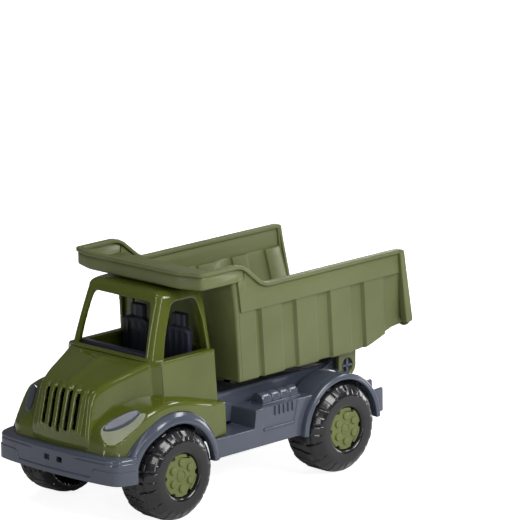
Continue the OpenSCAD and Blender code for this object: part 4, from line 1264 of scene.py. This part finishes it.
end_wall = rounded([[30.0, 41.2, 0.3], [HOUSE_R + 2.9, 41.2, 0.8],
                    [HOUSE_R + 2.9, 43.4, 0.8], [30.0, 43.4, 0.3]], 2)
house_end = ring(end_wall, WHEELBASE, AXLE_Z, 120, 2, 176)

# %% [markdown]
# The side is a sheet that follows the step, climbs to the box and ends on the rear arch.
# The panel is a depth on that sheet; the louvres and the ledge are low bars on its face.

# %% Step and side box
STEP_END = CAB_BACK + 24.5       # where the step ends and the box begins
side_line = along(rounded([[38.4, STEP_Z, 0], [STEP_END - 0.8, STEP_Z, 1.2], [STEP_END + 1.2, BOX_Z, 2.0],
                           [WHEELBASE - 14, BOX_Z, 0]], 6, closed=False), 0.8)
SIDE_R = 1.1
inward = np.arange(SPINE_HALF - 0.5, SIDE_HALF - SIDE_R, 2.4)
bend = np.linspace(0, np.pi / 2, 6)
side_rows_x = np.concatenate([inward, SIDE_HALF - SIDE_R + SIDE_R * np.sin(bend), np.full(25, SIDE_HALF)])
drop = np.concatenate([0 * inward, SIDE_R * (1 - np.cos(bend))])
fall = np.linspace(0, 1, 26)[1:]
y, top = side_line[:, :1], side_line[:, 1:]
side_z = np.concatenate([top - drop, (top - SIDE_R) + (CHASSIS_Z - top + SIDE_R) * fall], 1)
arch_y = WHEELBASE - np.sqrt(np.maximum((HOUSE_R + 1.4) ** 2 - (side_z - AXLE_Z) ** 2, 0))
side_end = side_line[-1, 0]
stretch = smooth_step(y, STEP_END + 4, side_end) * np.clip((y - 100) / (side_end - 100), 0, 1)
side_y = y + (np.minimum(arch_y, WHEELBASE - 13) - side_end) * stretch


def inside_of(outline, p, soft=0.35):
    """1 inside a closed outline and 0 outside, over a soft edge."""
    d, _ = nearest(p.reshape(-1, 2), np.asarray(outline, float))
    return (1 - smooth_step(d, -soft, soft)).reshape(p.shape[:-1])


place = np.stack([side_y, side_z], -1)
panel = rounded([[88, 46.2, 1], [119.0, 46.2, 1], [124.5, 66, 0.5], [88, 66, 0.5]], 4)
depth = 0.9 * inside_of(panel, place, 0.7)
on_face = np.clip((side_rows_x - (SIDE_HALF - 0.6)) / 0.6, 0, 1)[None]
side_x = side_rows_x[None] - depth * on_face
side_sheet = grid(np.stack([side_x, side_y, side_z], -1))
LOUVRES, LOUVRE_PITCH = 5, 4.4
relief = [box(SIDE_HALF - 2, SIDE_HALF + 0.35, y, y + 1.1, 54.6, BOX_Z - 0.6, 0.5, 0.45)
          for y in 100.2 + LOUVRE_PITCH * np.arange(LOUVRES)]
relief += [box(SIDE_HALF - 2, SIDE_HALF + 0.9, 88.5, 119.5, 45.2, 47.0, 0.8, 0.75)]

# %% [markdown]
# The spine is a pillow with flat sides: a deck under the cab, a rise, and a raised block
# at the hinge. Its side walls stop above the front wheels. On each side box lies a ribbed
# tank, and from the hinge block a stub with a cross of two bars carries the bed's ear.

# %% Spine, tank and trunnions
spine_outline = along(rounded([
    [BUMPER_Y + 12, BUMPER_Z, 0], [CAB_BACK + 4, BUMPER_Z, 2], [CAB_BACK + 10.5, SPINE_Z, 2],
    [pivot_y - 14, SPINE_Z, 3], [pivot_y - 9, HINGE_Z, 3], [DECK_Y, HINGE_Z, 2.5], [DECK_Y, 50, 0]],
    5, closed=False), 1.3)
spine = grid(pillow(spine_outline, np.array([90.0, 36.0]), flat_side(SPINE_HALF), 0.0, 1.6, no_crown,
                    14, 12, 6))
under_cab = rounded([[BUMPER_Y + 13.5, 20, 0], [CAB_BACK + 18, 20, 0], [CAB_BACK + 14, DECK_Z - 2.5, 8],
                     [BUMPER_Y + 13.5, DECK_Z - 2.5, 1]], 6)
spine = cut(spine, [1, 2], under_cab, lambda p: p[:, 0] > SPINE_HALF - 0.5, None, 0.6)
hinge_slot = rounded([[-0.01, pivot_z - 3, 0], [17, pivot_z - 3, 1],
                      [17, pivot_z + 1, 1], [-0.01, pivot_z + 1, 0]], 3)
spine = cut(spine, [0, 2], hinge_slot, lambda p: p[:, 1] > DECK_Y - 1, None, 0.4)


def barrel_along(profile, x, z):
    """A profile of rows (y, radius) turned about a line along the truck."""
    a = np.linspace(0, 2 * np.pi, 40, endpoint=False)[:, None]
    y, r = profile[None, :, 0], profile[None, :, 1]
    points = np.stack([x + r * np.cos(a), y + 0 * a, z + r * np.sin(a)], -1)
    return outwards(grid(points, wrap_u=True))


TANK_R, TANK_STEP, TANK_PARTS, TANK_Y = 6.3, 9.0, 4, 95.0
TANK_END = TANK_Y + TANK_PARTS * TANK_STEP
tank_profile = [[TANK_Y, 0.01, 0], [TANK_Y, TANK_R - 0.4, 2.2]]
for y0 in TANK_Y + TANK_STEP * np.arange(TANK_PARTS):
    y1 = y0 + TANK_STEP
    tank_profile += [[y0 + 1.2, TANK_R, 0.8], [y1 - 1.2, TANK_R, 0.8]]
    if y1 < TANK_END:
        tank_profile += [[y1 - 0.4, TANK_R - 1.0, 0.3], [y1 + 0.4, TANK_R - 1.0, 0.3]]
tank_profile += [[TANK_END, TANK_R - 0.4, 2.2], [TANK_END, 0.01, 0]]
tank = barrel_along(rounded(tank_profile, 4, closed=False), SPINE_HALF + 11.4, BOX_Z + 1.4)
tank_bed = box(SPINE_HALF + 4.0, SPINE_HALF + 18.8, TANK_Y - 1.5, TANK_END + 1.5,
               BOX_Z - 3, BOX_Z + 0.9, 1.5, 0.8)
STUB_R = 5.54
stub_profile = rounded([[0.01, SPINE_HALF - 1.5, 0], [STUB_R, SPINE_HALF - 1.5, 0],
                        [STUB_R, 40.0, 0.4], [0.01, 40.2, 0]], 3)
stub = ring(stub_profile, pivot_y, pivot_z, 48)
bars = [box(39.0, 42.3, pivot_y - a, pivot_y + a, pivot_z - b, pivot_z + b, 0.3, 0.3)
        for a, b in ((0.9, 5.3), (5.3, 0.9))]

# %% Rear bumper
rear_half = np.array([[58.5, DECK_Y - 3, 1.5], [57.5, BUMPER_BACK - 2.0, 2.5],
                      [41.5, BUMPER_BACK - 1.6, 0.8], [40.5, BUMPER_BACK, 0.8],
                      [18.8, BUMPER_BACK, 1.5], [17.2, BUMPER_BACK - 3.2, 0.8]])
rear_plan = rounded(np.roll(np.concatenate([rear_half, rear_half[::-1] * [-1, 1, 1]]), 1, axis=0), 4)
rear_bumper = prism(rear_plan, CHASSIS_Z - 1.2, 52.0, "z", 1.3, 4)
rear_ledge = box(-15.5, 15.5, BUMPER_BACK - 6, BUMPER_BACK - 1.9, CHASSIS_Z - 1.0, 40.2, 1.0, 0.9)
pocket_sides = both(box(13.4, 18.5, BUMPER_BACK - 6, BUMPER_BACK - 1.2, CHASSIS_Z - 1.0, 51.6, 1.2, 1.0))
corner_box = both(box(30, 53.5, DECK_Y - 4, DECK_Y + 5.5, 50, 58.5, 2.2, 1.3))
pocket_backs = [box(-12, 12, BUMPER_Y + 6.5, BUMPER_Y + 8, CHASSIS_Z + 1.5, BUMPER_Z - 1.5, 1.5, 0.6),
                box(-19, 19, DECK_Y - 5, DECK_Y - 3.5, HINGE_Z - 16, HINGE_Z - 1.5, 1.5, 0.6)]

# %% Axle bearings and deck
SPINE_IN = SPINE_HALF - WALL
bearing = rounded([[2.02, SPINE_IN, 0.2], [6.5, SPINE_IN, 0.4],
                   [6.5, SPINE_HALF + 0.6, 0.6], [2.02, SPINE_HALF + 0.6, 0.2]], 3)
lobes = []
for y in (0.0, WHEELBASE):
    lobes += both(ring(bearing, y, AXLE_Z, 48))
    lobes += both(box(SPINE_IN, SPINE_HALF, y - 9, y + 9, AXLE_Z + 4.0, BUMPER_Z - 1, 0.8, 0.4))
keel = both(box(SPINE_IN, SPINE_HALF, CAB_BACK + 19, DECK_Y - 1, CHASSIS_Z, BUMPER_Z - 2, 0.8, 0.5))

# %% Chassis pieces
def chassis_piece(name, shapes, stands_for=(), **finish):
    """One blue-grey piece of the chassis."""
    make_piece(name, shapes, slate_gloss, "truck", "slate_plastic", stands_for, **finish)


chassis_piece("chassis_bumper", both(front_bumper), ["chassis"], wall=WALL, bevel=0.2)
chassis_piece("chassis_sides", both(flipped(side_sheet)), wall=WALL, bevel=0.2)
chassis_piece("chassis_relief", [s for r in relief for s in both(r)])
chassis_piece("chassis_spine", both(flipped(spine)), wall=WALL, bevel=0.2)
arch_parts = (front_flare, front_band, foot, rear_arch, house_end)
chassis_piece("chassis_arches", [s for part in arch_parts for s in both(part)])
chassis_piece("chassis_tail", [rear_bumper, rear_ledge] + pocket_backs + pocket_sides + corner_box)
chassis_piece("chassis_tanks", both(tank) + both(tank_bed))
chassis_piece("chassis_bearings", both(stub) + [s for b in bars for s in both(b)] + lobes + keel)

# %% [markdown]
# ## Lamps, seats and dashboard
# The lamps are blank grey lenses that show through holes in the green: pillows with a
# leaf outline, drawn along their own axes and laid on the fender's facet. Inside, one
# moulding makes the floor and the dashboard, and each seat is a fluted back with a
# narrower headrest. They are the chassis's blue-grey painted darker, as painted shade
# inside the cab, and a dark plate behind the grille is painted shade for the hollow hood.

# %% Headlights
lamp_axes = np.stack([lamp_along, lamp_across, lamp_out], 1)


def leaf_lens(length=29.0, half=4.7, proud=0.8, deep=3.0):
    """A leaf-shaped pillow on the lamp's axes. Half width: half (1 - |2t - 1|^2.4)^0.8
    along the length t. Height: proud times a flat-topped bell across. The loop at each t
    runs over the top from edge to edge and back underneath."""
    t = (1 - np.cos(np.linspace(0, np.pi, 61))) / 2
    s = np.linspace(-1, 1, 27)
    width = half * np.maximum(1 - np.abs(2 * t - 1) ** 2.4, 0) ** 0.8
    dome = np.clip(1 - np.abs(s) ** 7, 0, 1) ** 0.5
    rise = proud * dome[None] * np.clip(width / 1.6, 0, 1)[:, None] - 0.3
    across = width[:, None] * s[None] - 0.5 * np.sin(np.pi * t)[:, None]
    along_it = np.broadcast_to(t[:, None] * length, across.shape)
    over = np.stack([along_it, across, rise], -1)
    under = np.stack([along_it, across, np.full_like(rise, -deep)], -1)[:, ::-1]
    return outwards(grid(np.concatenate([over, under], 1), wrap_v=True))


for hand, side in (("left", 1), ("right", -1)):
    lens = moved(leaf_lens(), LAMP_TIP, lamp_axes)
    make_piece(f"lens_{hand}", [lens if side > 0 else mirrored(lens)], slate_gloss, "truck", "slate_plastic",
               [f"headlight_{hand}"])

# %% Dashboard and floor
IN_HALF = 35.5
dash = rounded([[-5, DECK_Z, 0], [1, DECK_Z, 0.5], [7, SILL_Z - 14, 3], [15, SILL_Z - 8, 3],
                [15, SILL_Z - 1, 2], [12, SILL_Z + 1.6, 1.5], [4.0, SILL_Z + 3.0, 1.2],
                [2.4, SILL_Z - 3, 0.5]], 5)
dashboard = prism(dash, -IN_HALF, IN_HALF, "x", 1.0)
cab_floor = box(-IN_HALF, IN_HALF, -8, CAB_BACK - 2.9, DECK_Z, DECK_Z + 2, 2, 0.6)

# %% Seats
SEAT_X, SEAT_HALF, HEAD_HALF = 20.8, 12.3, 6.4
SEAT_Y, SEAT_T = CAB_BACK - 13.8, 6.0
CUSHION_Z, SHOULDER_Z, HEAD_Z = 84.0, 124.0, 133.0


def fluted_back(half, low, high, flutes, depth, round_top):
    """A backrest in front view with a rounded top, as a grid across and up. Its front
    face sinks by depth |sin| between flutes, and its thickness rounds at the sides."""
    u = np.linspace(-1, 1, 61)
    v = np.linspace(0, 1, 40)
    side_fall = np.sqrt(np.clip(1 - np.abs(u) ** 8, 0, 1))
    top = high - round_top * (1 - np.sqrt(np.clip(1 - np.abs(u) ** 3.2, 0, 1)))
    z = low + (top[:, None] - low) * v[None]
    tip = np.sqrt(np.clip(1 - ((z - low) / (high - low)) ** 14, 0, 1))
    wave = depth * np.abs(np.sin(u * flutes * np.pi / 2))[:, None] * within(v, 0.02, 0.1, 0.86, 0.97)
    thick = SEAT_T / 2 * side_fall[:, None] ** 0.5 * tip ** 0.5
    y_mid = SEAT_Y + SEAT_T / 2
    front = np.stack([np.broadcast_to(u[:, None] * half, z.shape), y_mid - thick + wave, z], -1)
    rear = np.stack([np.broadcast_to(u[:, None] * half, z.shape), y_mid + thick, z], -1)
    return outwards(grid(np.concatenate([front, rear[:, ::-1]], 1), wrap_v=True))


def seat(x):
    """Back, headrest and cushion of one seat, its middle at x."""
    back = fluted_back(SEAT_HALF, CUSHION_Z - 4, SHOULDER_Z, 4, 0.55, 5.0)
    head = moved(fluted_back(HEAD_HALF, SHOULDER_Z - 5, HEAD_Z, 2, 0.7, 1.5), (0, 2.2, 0))
    cushion = box(-SEAT_HALF, SEAT_HALF, SEAT_Y - 17, SEAT_Y + 6, DECK_Z + 2, CUSHION_Z, 3, 2.5)
    return [moved(s, (x, 0, 0)) for s in (back, head, cushion)]


# A dark plate behind the grille's slots stands as painted shade for the hollow under the hood; the plate,
# floor and dashboard take the blue-grey painted darker, as painted shade inside the cab.
grille_shade_plate = box(-30, 30, -16, -14, DECK_Z + 0.2, SILL_Z - 24, 2, 0.6)
make_piece("dashboard", [dashboard, cab_floor, grille_shade_plate], shaded_slate_satin, "truck", "navy_plastic",
           ["cab_interior"])
# The seats take the blue-grey painted darker, as painted shade inside the cab.
make_piece("seat_l", seat(SEAT_X), shaded_slate_satin, "truck", "navy_plastic", ["seat_left"])
make_piece("seat_r", seat(-SEAT_X), shaded_slate_satin, "truck", "navy_plastic", ["seat_right"])

# %% [markdown]
# ## Count of pieces
# The pieces and their faces are counted. The visual model has to fill the same box as
# the imported one.

# %% Count of pieces and faces
print("pieces:", len(pieces), "faces:", sum(len(p.data.polygons) for p in pieces))
